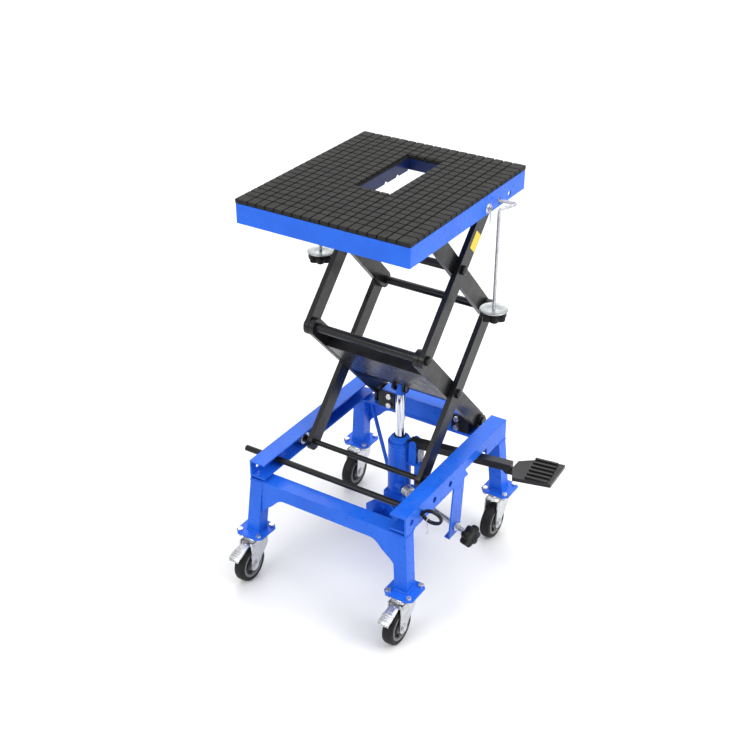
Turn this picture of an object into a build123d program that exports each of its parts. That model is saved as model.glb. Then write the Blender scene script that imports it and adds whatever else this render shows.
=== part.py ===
from build123d import *
import os
from math import asin, cos, degrees, radians, sin

# Foot-pumped hydraulic scissor lift table on four swivel casters, in millimetres.
# The origin is on the floor under the middle of the base. +Z is up, -Y is the front (the end
# with the braked casters) and +X is the pedal side.

# ---- Frame ----
FRAME_TOP = 267.0            # top face of the side rails above the floor
HALF_WIDTH = 173.5           # outer face of a side rail from the middle
HALF_LENGTH = 196.0          # end of a side rail from the middle
FLANGE = 34.0                # width of the frame's folded flanges
SHEET = 3.0                  # frame sheet thickness
WEB_DEPTH = 40.0             # outer height of a side rail
TRACK_FLOOR = 31.0           # rail top to the face that the rollers run on
ARCH_DEPTH = 29.0            # height of a crossmember's face between its gussets

# ---- Scissor linkage ----
ARM_LENGTH = 355.0           # pivot to pivot
STAGE_HEIGHT = 259.0         # pivot to pivot, upright, in each of the two stages at rest
REAR_Y = 188.0               # fixed pivots, which stay one above the other
BOTTOM_Z = FRAME_TOP - 17.0  # lowest pivots and rollers
ARM_WIDTH = 34.0
ARM_THICK = 10.0
OUTER_ARM = 118.5            # inner face of an outer arm from the middle
INNER_ARM = 107.5            # inner face of an inner arm from the middle
OUTER_FACE = OUTER_ARM + ARM_THICK
FIT = 0.05                   # radial clearance of a running fit
GAP = 0.4                    # clearance between faces that slide past each other

# ---- Deck ----
DECK_WIDTH = 345.0
DECK_LENGTH = 407.0
DECK_Y = 6.0
DECK_TOP = FRAME_TOP + 526.0
RIM_HEIGHT = 36.0
DECK_SHEET = 3.0
MAT_THICK = 8.0

# ---- Casters ----
CASTER_X = 170.5
CASTER_Y = 191.0
CASTER_HEIGHT = 101.0        # floor to the underside of a leg's foot plate
WHEEL_RADIUS = 37.5
WHEEL_WIDTH = 22.0
TRAIL = 27.0

# ---- Worked out from the above ----
REST_ANGLE = asin(STAGE_HEIGHT / ARM_LENGTH)
FRONT_Y = REAR_Y - ARM_LENGTH * cos(REST_ANGLE)
MIDDLE_Y = (FRONT_Y + REAR_Y) / 2
MIDDLE_Z = BOTTOM_Z + STAGE_HEIGHT
TOP_Z = MIDDLE_Z + STAGE_HEIGHT
LOWER_CENTRE_Z = BOTTOM_Z + STAGE_HEIGHT / 2
UPPER_CENTRE_Z = MIDDLE_Z + STAGE_HEIGHT / 2
ARM_TILT = degrees(REST_ANGLE)
UNDER_FRAME = FRAME_TOP - WEB_DEPTH
FOOT_THICK = 4.0
FOOT_TOP = CASTER_HEIGHT + FOOT_THICK
SIDES = ((-1, "left"), (1, "right"))
ENDS = ((-1, "front"), (1, "rear"))

os.makedirs("parts", exist_ok=True)


def on_x(x):
    """Sketch plane facing +X, whose axes are the world's Y and Z."""
    return Plane.YZ.offset(x)


def on_y(y):
    """Sketch plane facing -Y, whose axes are the world's X and Z."""
    return Plane.XZ.offset(-y)


def on_z(z):
    """Sketch plane facing +Z, whose axes are the world's X and Y."""
    return Plane.XY.offset(z)


def rod_x(y, z, radius, x_from, x_to, mode=Mode.ADD):
    """Round bar along X, or a round hole with Mode.SUBTRACT."""
    with BuildSketch(on_x(x_from)) as disc:
        with Locations((y, z)):
            Circle(radius)
    extrude(disc.sketch, amount=x_to - x_from, mode=mode)


def hexagon_x(y, z, radius, x_from, x_to):
    """Bolt head or nut with its axis along X."""
    with BuildSketch(on_x(x_from)) as outline:
        with Locations((y, z)):
            RegularPolygon(radius, 6)
    extrude(outline.sketch, amount=x_to - x_from)


def rod_z(x, y, radius, z_from, z_to, mode=Mode.ADD):
    """Upright round bar, or a round hole with Mode.SUBTRACT."""
    with BuildSketch(on_z(z_from)) as disc:
        with Locations((x, y)):
            Circle(radius)
    extrude(disc.sketch, amount=z_to - z_from, mode=mode)


# ================= Base frame =================
LOCK_HOLES = (-174.5, -140.0, -92.5, -32.8)     # Y of the height-lock holes in the rails
SAFETY_BAR_Y = LOCK_HOLES[1]
LOCK_Z = FRAME_TOP - 20.5
SAFETY_BAR_RADIUS = 6.0
PEDAL_SLOT = (26.0, 114.0)   # Y range of the opening that the pedal arm swings in
PEDAL_SLOT_TOP = FRAME_TOP - 22.0

for side, side_name in SIDES:
    outer = side * HALF_WIDTH
    with BuildPart() as side_rail:
        # C section, open towards the middle: web, top flange and the flange that the roller runs on
        with BuildSketch(on_y(HALF_LENGTH)):
            with Locations((outer - side * SHEET / 2, FRAME_TOP - WEB_DEPTH / 2)):
                Rectangle(SHEET, WEB_DEPTH)
            with Locations((outer - side * FLANGE / 2, FRAME_TOP - SHEET / 2)):
                Rectangle(FLANGE, SHEET)
            with Locations((outer - side * FLANGE / 2, FRAME_TOP - TRACK_FLOOR - SHEET / 2)):
                Rectangle(FLANGE, SHEET)
        extrude(amount=2 * HALF_LENGTH)
        with BuildSketch(on_x(outer - side * SHEET)):
            with Locations(*[(y, LOCK_Z) for y in LOCK_HOLES]):
                Circle(SAFETY_BAR_RADIUS + GAP)
        extrude(amount=side * 2 * SHEET, mode=Mode.SUBTRACT)
        if side > 0:
            # opening in the web, with a slanted front edge, for the pedal arm
            with BuildSketch(on_x(HALF_WIDTH - FLANGE - 1)):
                with BuildLine():
                    Polyline(
                        (PEDAL_SLOT[0], PEDAL_SLOT_TOP),
                        (PEDAL_SLOT[1], PEDAL_SLOT_TOP),
                        (PEDAL_SLOT[1], UNDER_FRAME - 1),
                        (PEDAL_SLOT[0] + 14, UNDER_FRAME - 1),
                        close=True,
                    )
                make_face()
            extrude(amount=FLANGE + 2, mode=Mode.SUBTRACT)
    side_rail.part.label = f"{side_name}_rail"
    export_step(side_rail.part, f"parts/{side_name}_rail.step")

# Arched crossmembers: a folded top flange under the rails, and a face whose gussets run into the legs
ARCH_FLAT = 98.0             # half length of the straight middle of the arch
LEG_SIZE = 28.0
LEG_WALL = 2.5
LEG_TOP_X = HALF_WIDTH - LEG_SIZE / 2
LEG_FOOT_X = LEG_TOP_X + 10.0
LEG_TOP_Y = HALF_LENGTH - LEG_SIZE / 2
LEG_FOOT_Y = LEG_TOP_Y + 7.0
LEG_HEIGHT = UNDER_FRAME - SHEET - FOOT_TOP
WELD_GAP = 0.2
GUSSET_DROP = 78.0
GUSSET_TOP = (LEG_TOP_X - LEG_SIZE / 2 - WELD_GAP, UNDER_FRAME)
GUSSET_LEAN = (LEG_FOOT_X - LEG_TOP_X) * (GUSSET_DROP - SHEET) / LEG_HEIGHT
GUSSET_FOOT = (GUSSET_TOP[0] + GUSSET_LEAN, UNDER_FRAME - GUSSET_DROP)
GUSSET_MIDDLE = (ARCH_FLAT + 24.0, UNDER_FRAME - 46.0)
for end, end_name in ENDS:
    face_y = end * HALF_LENGTH
    with BuildPart() as crossmember:
        with BuildSketch(on_y(face_y if end > 0 else face_y + SHEET)):
            with BuildLine():
                for side, side_name in SIDES:
                    Spline(
                        (side * ARCH_FLAT, UNDER_FRAME - ARCH_DEPTH),
                        (side * GUSSET_MIDDLE[0], GUSSET_MIDDLE[1]),
                        (side * GUSSET_FOOT[0], GUSSET_FOOT[1]),
                        tangents=[(side, -0.1), (side * 0.3, -1)],
                    )
                    Polyline(
                        (side * GUSSET_FOOT[0], GUSSET_FOOT[1]),
                        (side * GUSSET_TOP[0], UNDER_FRAME - SHEET),
                        (side * GUSSET_TOP[0], UNDER_FRAME),
                        (0, UNDER_FRAME),
                    )
                Line((ARCH_FLAT, UNDER_FRAME - ARCH_DEPTH), (-ARCH_FLAT, UNDER_FRAME - ARCH_DEPTH))
            make_face()
        extrude(amount=SHEET)
        with BuildSketch(on_z(UNDER_FRAME - SHEET)):
            with Locations((0, end * (HALF_LENGTH - FLANGE / 2))):
                Rectangle(2 * HALF_WIDTH, FLANGE)
        extrude(amount=SHEET)
    crossmember.part.label = f"{end_name}_crossmember"
    export_step(crossmember.part, f"parts/{end_name}_crossmember.step")

# Legs: square tubes that splay outwards, each welded to a foot plate with chamfered corners
FOOT_SIZE = 62.0
FOOT_BOLTS = 44.0            # spacing of the caster bolts, both ways
CASTER_BOLT_RADIUS = 3.5
for end, end_name in ENDS:
    with BuildPart() as legs:
        for side, side_name in SIDES:
            for size, mode in ((LEG_SIZE, Mode.ADD), (LEG_SIZE - 2 * LEG_WALL, Mode.SUBTRACT)):
                with BuildSketch(on_z(FOOT_TOP)):
                    with Locations((side * LEG_FOOT_X, end * LEG_FOOT_Y)):
                        Rectangle(size, size)
                with BuildSketch(on_z(UNDER_FRAME - SHEET)):
                    with Locations((side * LEG_TOP_X, end * LEG_TOP_Y)):
                        Rectangle(size, size)
                loft(mode=mode)
            with BuildSketch(on_z(CASTER_HEIGHT)):
                with Locations((side * CASTER_X, end * CASTER_Y)):
                    outline = Rectangle(FOOT_SIZE, FOOT_SIZE)
                chamfer(outline.vertices(), 9)
                with Locations((side * CASTER_X, end * CASTER_Y)):
                    with GridLocations(FOOT_BOLTS, FOOT_BOLTS, 2, 2):
                        Circle(CASTER_BOLT_RADIUS + FIT, mode=Mode.SUBTRACT)
            extrude(amount=FOOT_THICK)
    legs.part.label = f"{end_name}_legs"
    export_step(legs.part, f"parts/{end_name}_legs.step")

# Beam on the rear crossmember, between the two pivots: a channel that is open to the rear
BEAM_FACE_Y = 163.0
BEAM_HALF = 101.0
BRACKET_BOLTS = [(side * 80.0, FRAME_TOP - drop) for side, side_name in SIDES for drop in (9.5, 30.0)]
BRACKET_BOLT_RADIUS = 4.0
with BuildPart() as pivot_beam:
    with BuildSketch(on_x(-BEAM_HALF)):
        with BuildLine():
            Polyline(
                (BEAM_FACE_Y, UNDER_FRAME),
                (BEAM_FACE_Y, FRAME_TOP),
                (HALF_LENGTH, FRAME_TOP),
                (HALF_LENGTH, FRAME_TOP - 6),
                (HALF_LENGTH - SHEET, FRAME_TOP - 6),
                (HALF_LENGTH - SHEET, FRAME_TOP - SHEET),
                (BEAM_FACE_Y + SHEET, FRAME_TOP - SHEET),
                (BEAM_FACE_Y + SHEET, UNDER_FRAME),
                close=True,
            )
        make_face()
    extrude(amount=2 * BEAM_HALF)
    with BuildSketch(on_y(BEAM_FACE_Y + SHEET + 1)):
        with Locations(*BRACKET_BOLTS):
            Circle(BRACKET_BOLT_RADIUS + FIT)
    extrude(amount=SHEET + 2, mode=Mode.SUBTRACT)
pivot_beam.part.label = "rear_pivot_beam"
export_step(pivot_beam.part, "parts/rear_pivot_beam.step")

# Rear pivots: an angle bolted to the beam and an outer ear, with the arm's pin across them
PIVOT_RADIUS = 7.0
EAR_THICK = 5.0
EAR_RADIUS = 14.0
INNER_EAR = BEAM_HALF + 0.5
OUTER_EAR = INNER_ARM + ARM_THICK + 1.5
BRACKET_THICK = 3.0
with BuildPart() as pivot_brackets:
    for side, side_name in SIDES:
        with BuildSketch(on_y(BEAM_FACE_Y)):
            with Locations((side * (68 + INNER_EAR + EAR_THICK) / 2, FRAME_TOP - 20)):
                Rectangle(INNER_EAR + EAR_THICK - 68, 37)
            with Locations(*BRACKET_BOLTS):
                Circle(BRACKET_BOLT_RADIUS + FIT, mode=Mode.SUBTRACT)
        extrude(amount=BRACKET_THICK)
        for inner_x, front_y in ((INNER_EAR, BEAM_FACE_Y - BRACKET_THICK), (OUTER_EAR, 172.0)):
            with BuildSketch(on_x(side * inner_x)):
                with Locations(((front_y + REAR_Y + EAR_RADIUS) / 2, (UNDER_FRAME + 1.5 + BOTTOM_Z) / 2)):
                    Rectangle(REAR_Y + EAR_RADIUS - front_y, BOTTOM_Z - UNDER_FRAME - 1.5)
                with Locations((REAR_Y, BOTTOM_Z)):
                    Circle(EAR_RADIUS)
                    Circle(PIVOT_RADIUS + FIT, mode=Mode.SUBTRACT)
            extrude(amount=side * EAR_THICK)
        with BuildSketch(on_x(side * (INNER_EAR - 3))):
            with Locations((REAR_Y, BOTTOM_Z)):
                Circle(PIVOT_RADIUS)
        extrude(amount=side * (OUTER_EAR + EAR_THICK + 3 - INNER_EAR + 3))
        for head_x in (INNER_EAR - 3.5, OUTER_EAR + EAR_THICK + 0.5):
            with BuildSketch(on_x(side * head_x)):
                with Locations((REAR_Y, BOTTOM_Z)):
                    Circle(PIVOT_RADIUS + 3)
            extrude(amount=side * 3)
pivot_brackets.part.label = "rear_pivot_brackets"
export_step(pivot_brackets.part, "parts/rear_pivot_brackets.step")

# Bolts of the frame: four in the pivot brackets and four at every foot plate
HEX_RADIUS = 6.5
PLATE_BOTTOM = CASTER_HEIGHT - 3.0
with BuildPart() as frame_bolts:
    with BuildSketch(on_y(BEAM_FACE_Y + 12)):
        with Locations(*BRACKET_BOLTS):
            Circle(BRACKET_BOLT_RADIUS)
    extrude(amount=12 + BRACKET_THICK)
    for start_y, thick in ((BEAM_FACE_Y - BRACKET_THICK, 5.0), (BEAM_FACE_Y + SHEET + 6, 6.0)):
        with BuildSketch(on_y(start_y)):
            with Locations(*BRACKET_BOLTS):
                RegularPolygon(HEX_RADIUS, 6)
        extrude(amount=thick)
    for side, side_name in SIDES:
        for end, end_name in ENDS:
            foot_grid = (side * CASTER_X, end * CASTER_Y)
            for start_z, thick, radius in ((PLATE_BOTTOM - 4, 15.0, 0), (PLATE_BOTTOM - 4, 4.0, 5.5), (FOOT_TOP, 4.5, 5.5)):
                with BuildSketch(on_z(start_z)):
                    with Locations(foot_grid):
                        with GridLocations(FOOT_BOLTS, FOOT_BOLTS, 2, 2):
                            if radius:
                                RegularPolygon(radius, 6)
                            else:
                                Circle(CASTER_BOLT_RADIUS)
                extrude(amount=thick)
frame_bolts.part.label = "frame_bolts"
export_step(frame_bolts.part, "parts/frame_bolts.step")

# ================= Scissor arms =================
BOLT_RADIUS = 6.0            # bolts through the lower crossings
ROLLER_PIN_RADIUS = 5.5
HEAD_RADIUS = 9.0
HEAD_THICK = 5.0
OPEN_PIVOT_FIT = 0.4         # clearance at the two pivots where the linkage closes on itself

# name, inner face, centre (Y, Z), slope, hole radius at the front, at the crossing and at the rear
ARM_PAIRS = (
    ("lower_outer_arms", OUTER_ARM, LOWER_CENTRE_Z, 1,
     ROLLER_PIN_RADIUS + FIT, BOLT_RADIUS + FIT, PIVOT_RADIUS + OPEN_PIVOT_FIT),
    ("lower_inner_arms", INNER_ARM, LOWER_CENTRE_Z, -1,
     PIVOT_RADIUS + FIT, BOLT_RADIUS + FIT, PIVOT_RADIUS + FIT),
    ("upper_outer_arms", OUTER_ARM, UPPER_CENTRE_Z, 1,
     PIVOT_RADIUS + FIT, PIVOT_RADIUS + FIT, PIVOT_RADIUS + FIT),
    ("upper_inner_arms", INNER_ARM, UPPER_CENTRE_Z, -1,
     ROLLER_PIN_RADIUS + FIT, PIVOT_RADIUS + FIT, PIVOT_RADIUS + FIT),
)
for pair_name, inner_face, centre_z, slope, front_hole, centre_hole, rear_hole in ARM_PAIRS:
    with BuildPart() as arm_pair:
        for side, side_name in SIDES:
            with BuildSketch(on_x(side * inner_face)):
                with Locations(Location((MIDDLE_Y, centre_z), slope * ARM_TILT)):
                    SlotCenterToCenter(ARM_LENGTH, ARM_WIDTH)
                    Circle(centre_hole, mode=Mode.SUBTRACT)
                    with Locations((-ARM_LENGTH / 2, 0)):
                        Circle(front_hole, mode=Mode.SUBTRACT)
                    with Locations((ARM_LENGTH / 2, 0)):
                        Circle(rear_hole, mode=Mode.SUBTRACT)
            extrude(amount=side * ARM_THICK)
    arm_pair.part.label = pair_name
    export_step(arm_pair.part, f"parts/{pair_name}.step")

# Bars across the linkage: a thick tube between the inner arms, stepped down to a pin through both
# arms on each side, with a round head outside
PIN_END = OUTER_FACE + GAP
for bar_name, bar_y, bar_z, bar_radius in (
    ("mid_front_bar", FRONT_Y, MIDDLE_Z, 8.5),
    ("mid_rear_bar", REAR_Y, MIDDLE_Z, 8.0),
):
    with BuildPart() as cross_bar:
        rod_x(bar_y, bar_z, bar_radius, -INNER_ARM, INNER_ARM)
        rod_x(bar_y, bar_z, PIVOT_RADIUS, -PIN_END, PIN_END)
        for side, side_name in SIDES:
            rod_x(bar_y, bar_z, HEAD_RADIUS, side * PIN_END, side * (PIN_END + HEAD_THICK))
    cross_bar.part.label = bar_name
    export_step(cross_bar.part, f"parts/{bar_name}.step")

# Shaft through the upper crossing, fixed in the outer arms
with BuildPart() as centre_shaft:
    rod_x(MIDDLE_Y, UPPER_CENTRE_Z, 8.0, -INNER_ARM + GAP, INNER_ARM - GAP)
    rod_x(MIDDLE_Y, UPPER_CENTRE_Z, PIVOT_RADIUS, -OUTER_FACE, OUTER_FACE)
    for side, side_name in SIDES:
        rod_x(MIDDLE_Y, UPPER_CENTRE_Z, HEAD_RADIUS, side * OUTER_FACE, side * (OUTER_FACE + HEAD_THICK))
centre_shaft.part.label = "upper_centre_shaft"
export_step(centre_shaft.part, "parts/upper_centre_shaft.step")

# Bolts through the lower crossing, one on each side so that the ram has room between them
with BuildPart() as centre_bolts:
    for side, side_name in SIDES:
        rod_x(MIDDLE_Y, LOWER_CENTRE_Z, BOLT_RADIUS, side * (INNER_ARM - GAP - HEAD_THICK), side * OUTER_FACE)
        hexagon_x(
            MIDDLE_Y, LOWER_CENTRE_Z, HEAD_RADIUS,
            side * (INNER_ARM - GAP - HEAD_THICK), side * (INNER_ARM - GAP),
        )
        rod_x(MIDDLE_Y, LOWER_CENTRE_Z, HEAD_RADIUS, side * OUTER_FACE, side * (OUTER_FACE + HEAD_THICK))
centre_bolts.part.label = "lower_centre_bolts"
export_step(centre_bolts.part, "parts/lower_centre_bolts.step")

# Lower cross rod: it ties the front feet of the outer arms together and carries both rollers
ROLLER_RADIUS = TRACK_FLOOR - (FRAME_TOP - BOTTOM_Z) - 0.3
LOWER_ROLLER = (143.0, 165.0)    # X range of a roller in the rail
WASHER_THICK = 1.5
with BuildPart() as cross_rod:
    rod_x(FRONT_Y, BOTTOM_Z, ROLLER_PIN_RADIUS, -LOWER_ROLLER[1] - 3, LOWER_ROLLER[1] + 3)
    for side, side_name in SIDES:
        for washer_x in (LOWER_ROLLER[0] - GAP - WASHER_THICK, LOWER_ROLLER[1] + GAP):
            rod_x(FRONT_Y, BOTTOM_Z, 8.0, side * washer_x, side * (washer_x + WASHER_THICK))
cross_rod.part.label = "lower_cross_rod"
export_step(cross_rod.part, "parts/lower_cross_rod.step")

# Upper roller pins, fixed in the front ends of the upper inner arms
UPPER_ROLLER = (133.0, 145.0)    # X range of a roller in the deck channel
UPPER_ROLLER_RADIUS = 9.7
with BuildPart() as roller_pins:
    for side, side_name in SIDES:
        rod_x(FRONT_Y, TOP_Z, ROLLER_PIN_RADIUS, side * (INNER_ARM - 3), side * (UPPER_ROLLER[1] + 2.5))
        rod_x(FRONT_Y, TOP_Z, 8.0, side * (INNER_ARM - 3), side * INNER_ARM)
        rod_x(FRONT_Y, TOP_Z, 8.0, side * (UPPER_ROLLER[1] + GAP), side * (UPPER_ROLLER[1] + GAP + WASHER_THICK))
roller_pins.part.label = "upper_roller_pins"
export_step(roller_pins.part, "parts/upper_roller_pins.step")

for side, side_name in SIDES:
    for level, roller_z, radius, (near, far) in (
        ("lower", BOTTOM_Z, ROLLER_RADIUS, LOWER_ROLLER),
        ("upper", TOP_Z, UPPER_ROLLER_RADIUS, UPPER_ROLLER),
    ):
        with BuildPart() as roller:
            rod_x(FRONT_Y, roller_z, radius, side * near, side * far)
            chamfer(roller.edges().filter_by(GeomType.CIRCLE), 0.8)
            rod_x(FRONT_Y, roller_z, ROLLER_PIN_RADIUS + FIT, side * near, side * far, Mode.SUBTRACT)
        roller.part.label = f"{level}_roller_{side_name}"
        export_step(roller.part, f"parts/{level}_roller_{side_name}.step")

# Lift plate between the lower inner arms: the ram pushes its folded lip through two lugs.
# Its sketch runs along the arm from the rear pivot and across it, away from the floor.
LIFT_PLATE = (170.0, 302.0)      # range along the arm
PANEL = (42.0, 146.0)            # range of the second panel, nearer the rear pivot
RAM_PIN = (156.0, -13.5)         # along the arm and across it
RAM_PIN_RADIUS = 4.0
RAM_PIN_PLAY = 3.0               # the pin's play in its lugs
LUG_X = (10.0, 14.0)


def along_arm(distance, offset):
    """Y and Z of a point measured from the lower inner arms' rear pivot."""
    y = REAR_Y - distance * cos(REST_ANGLE) + offset * sin(REST_ANGLE)
    z = BOTTOM_Z + distance * sin(REST_ANGLE) + offset * cos(REST_ANGLE)
    return (y, z)


PLATE_HALF = INNER_ARM - 0.1
LIP_HALF = 95.0                  # the lip nearer the rear pivot is cut short of the nuts beside it
with BuildPart() as lift_plate:
    with BuildSketch(on_x(-PLATE_HALF)):
        with BuildLine():
            Polyline(
                along_arm(LIFT_PLATE[0], -16),
                along_arm(LIFT_PLATE[1], -16),
                along_arm(LIFT_PLATE[1], 12),
                along_arm(LIFT_PLATE[1] - 4, 12),
                along_arm(LIFT_PLATE[1] - 4, -12),
                along_arm(LIFT_PLATE[0], -12),
                close=True,
            )
        make_face()
    extrude(amount=2 * PLATE_HALF)
    with BuildSketch(on_x(-LIP_HALF)):
        with BuildLine():
            Polyline(
                along_arm(LIFT_PLATE[0], -12),
                along_arm(LIFT_PLATE[0], 12),
                along_arm(LIFT_PLATE[0] + 4, 12),
                along_arm(LIFT_PLATE[0] + 4, -12),
                close=True,
            )
        make_face()
    extrude(amount=2 * LIP_HALF)
    for side, side_name in SIDES:
        with BuildSketch(on_x(side * LUG_X[0])):
            with BuildLine():
                Polyline(
                    along_arm(LIFT_PLATE[0] + 1, -15),
                    along_arm(LIFT_PLATE[0] + 1, 2),
                    along_arm(RAM_PIN[0] - 6, 2),
                    along_arm(RAM_PIN[0] - 14, -8),
                    along_arm(RAM_PIN[0] - 14, -19),
                    along_arm(RAM_PIN[0] - 6, -26),
                    along_arm(RAM_PIN[0] + 8, -26),
                    close=True,
                )
            make_face()
            with Locations(along_arm(*RAM_PIN)):
                Circle(RAM_PIN_RADIUS + RAM_PIN_PLAY, mode=Mode.SUBTRACT)
        extrude(amount=side * (LUG_X[1] - LUG_X[0]))
lift_plate.part.label = "lift_plate"
export_step(lift_plate.part, "parts/lift_plate.step")

with BuildPart() as arm_panel:
    with BuildSketch(on_x(-PLATE_HALF)):
        with BuildLine():
            Polyline(
                along_arm(PANEL[0], 9),
                along_arm(PANEL[1], 9),
                along_arm(PANEL[1], 13),
                along_arm(PANEL[0], 13),
                close=True,
            )
        make_face()
    extrude(amount=2 * PLATE_HALF)
arm_panel.part.label = "lower_arm_panel"
export_step(arm_panel.part, "parts/lower_arm_panel.step")

# ================= Deck =================
WINDOW_WIDTH = 70.0
WINDOW_Y = (-37.0, 144.0)        # the window's range along the deck
WINDOW_MIDDLE = (0, (WINDOW_Y[0] + WINDOW_Y[1]) / 2)
WINDOW_LENGTH = WINDOW_Y[1] - WINDOW_Y[0]
WINDOW_RIM = 24.0                # depth of the folded edge round the window
DECK_HOLES = (67.0, 107.5, 148.0)
DECK_HOLE_RADIUS = 5.5
HOOK_Y = DECK_HOLES[1]
with BuildPart() as deck_tray:
    with BuildSketch(on_z(DECK_TOP - RIM_HEIGHT)):
        with Locations((0, DECK_Y)):
            RectangleRounded(DECK_WIDTH, DECK_LENGTH, 3)
    extrude(amount=RIM_HEIGHT)
    with BuildSketch(on_z(DECK_TOP - RIM_HEIGHT)):
        with Locations((0, DECK_Y)):
            Rectangle(DECK_WIDTH - 2 * DECK_SHEET, DECK_LENGTH - 2 * DECK_SHEET)
    extrude(amount=RIM_HEIGHT - DECK_SHEET, mode=Mode.SUBTRACT)
    with BuildSketch(on_z(DECK_TOP - WINDOW_RIM)):
        with Locations(WINDOW_MIDDLE):
            Rectangle(WINDOW_WIDTH + 2 * DECK_SHEET, WINDOW_LENGTH + 2 * DECK_SHEET)
    extrude(amount=WINDOW_RIM)
    with BuildSketch(on_z(DECK_TOP - WINDOW_RIM)):
        with Locations(WINDOW_MIDDLE):
            Rectangle(WINDOW_WIDTH, WINDOW_LENGTH)
    extrude(amount=WINDOW_RIM, mode=Mode.SUBTRACT)
    with BuildSketch(on_x(-DECK_WIDTH / 2)):
        with Locations(*[(y, TOP_Z) for y in DECK_HOLES]):
            Circle(DECK_HOLE_RADIUS)
    extrude(amount=DECK_WIDTH, mode=Mode.SUBTRACT)
deck_tray.part.label = "deck_tray"
export_step(deck_tray.part, "parts/deck_tray.step")

with BuildPart() as rubber_mat:
    with BuildSketch(on_z(DECK_TOP)):
        with Locations((0, DECK_Y)):
            Rectangle(DECK_WIDTH, DECK_LENGTH)
        with Locations(WINDOW_MIDDLE):
            Rectangle(WINDOW_WIDTH, WINDOW_LENGTH, mode=Mode.SUBTRACT)
    extrude(amount=MAT_THICK)
rubber_mat.part.label = "rubber_mat"
export_step(rubber_mat.part, "parts/rubber_mat.step")

# Channels under the deck that the upper rollers run in
CHANNEL_WALL = 2.0
CHANNEL_INNER = OUTER_FACE + 1.5
CHANNEL_WEB = UPPER_ROLLER[1] + 4.0
CHANNEL_Y = (-190.0, 20.0)
CHANNEL_HALF_GAP = UPPER_ROLLER_RADIUS + 0.3
UNDER_DECK = DECK_TOP - DECK_SHEET
with BuildPart() as deck_channels:
    for side, side_name in SIDES:
        with BuildSketch(on_y(CHANNEL_Y[0])):
            for flange_z in (TOP_Z - CHANNEL_HALF_GAP - CHANNEL_WALL / 2, TOP_Z + CHANNEL_HALF_GAP + CHANNEL_WALL / 2):
                with Locations((side * (CHANNEL_INNER + CHANNEL_WEB) / 2, flange_z)):
                    Rectangle(CHANNEL_WEB - CHANNEL_INNER, CHANNEL_WALL)
            web_low = TOP_Z - CHANNEL_HALF_GAP - CHANNEL_WALL
            with Locations((side * (CHANNEL_WEB + CHANNEL_WALL / 2), (web_low + UNDER_DECK) / 2)):
                Rectangle(CHANNEL_WALL, UNDER_DECK - web_low)
        extrude(amount=CHANNEL_Y[0] - CHANNEL_Y[1])
deck_channels.part.label = "deck_channels"
export_step(deck_channels.part, "parts/deck_channels.step")

# Lugs that hang from the deck beside the upper outer arms, with their pins
LUG_THICK = 5.0
DECK_LUG = OUTER_FACE + 1.0
with BuildPart() as deck_lugs:
    for side, side_name in SIDES:
        with BuildSketch(on_x(side * DECK_LUG)):
            with Locations((REAR_Y, (TOP_Z + UNDER_DECK) / 2)):
                Rectangle(34, UNDER_DECK - TOP_Z)
            with Locations((REAR_Y, TOP_Z)):
                Circle(15)
        extrude(amount=side * LUG_THICK)
        rod_x(REAR_Y, TOP_Z, PIVOT_RADIUS, side * (OUTER_ARM - GAP - 4), side * (DECK_LUG + LUG_THICK + 2))
        rod_x(REAR_Y, TOP_Z, HEAD_RADIUS, side * (OUTER_ARM - GAP - 4), side * (OUTER_ARM - GAP))
deck_lugs.part.label = "deck_pivot_lugs"
export_step(deck_lugs.part, "parts/deck_pivot_lugs.step")

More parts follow.
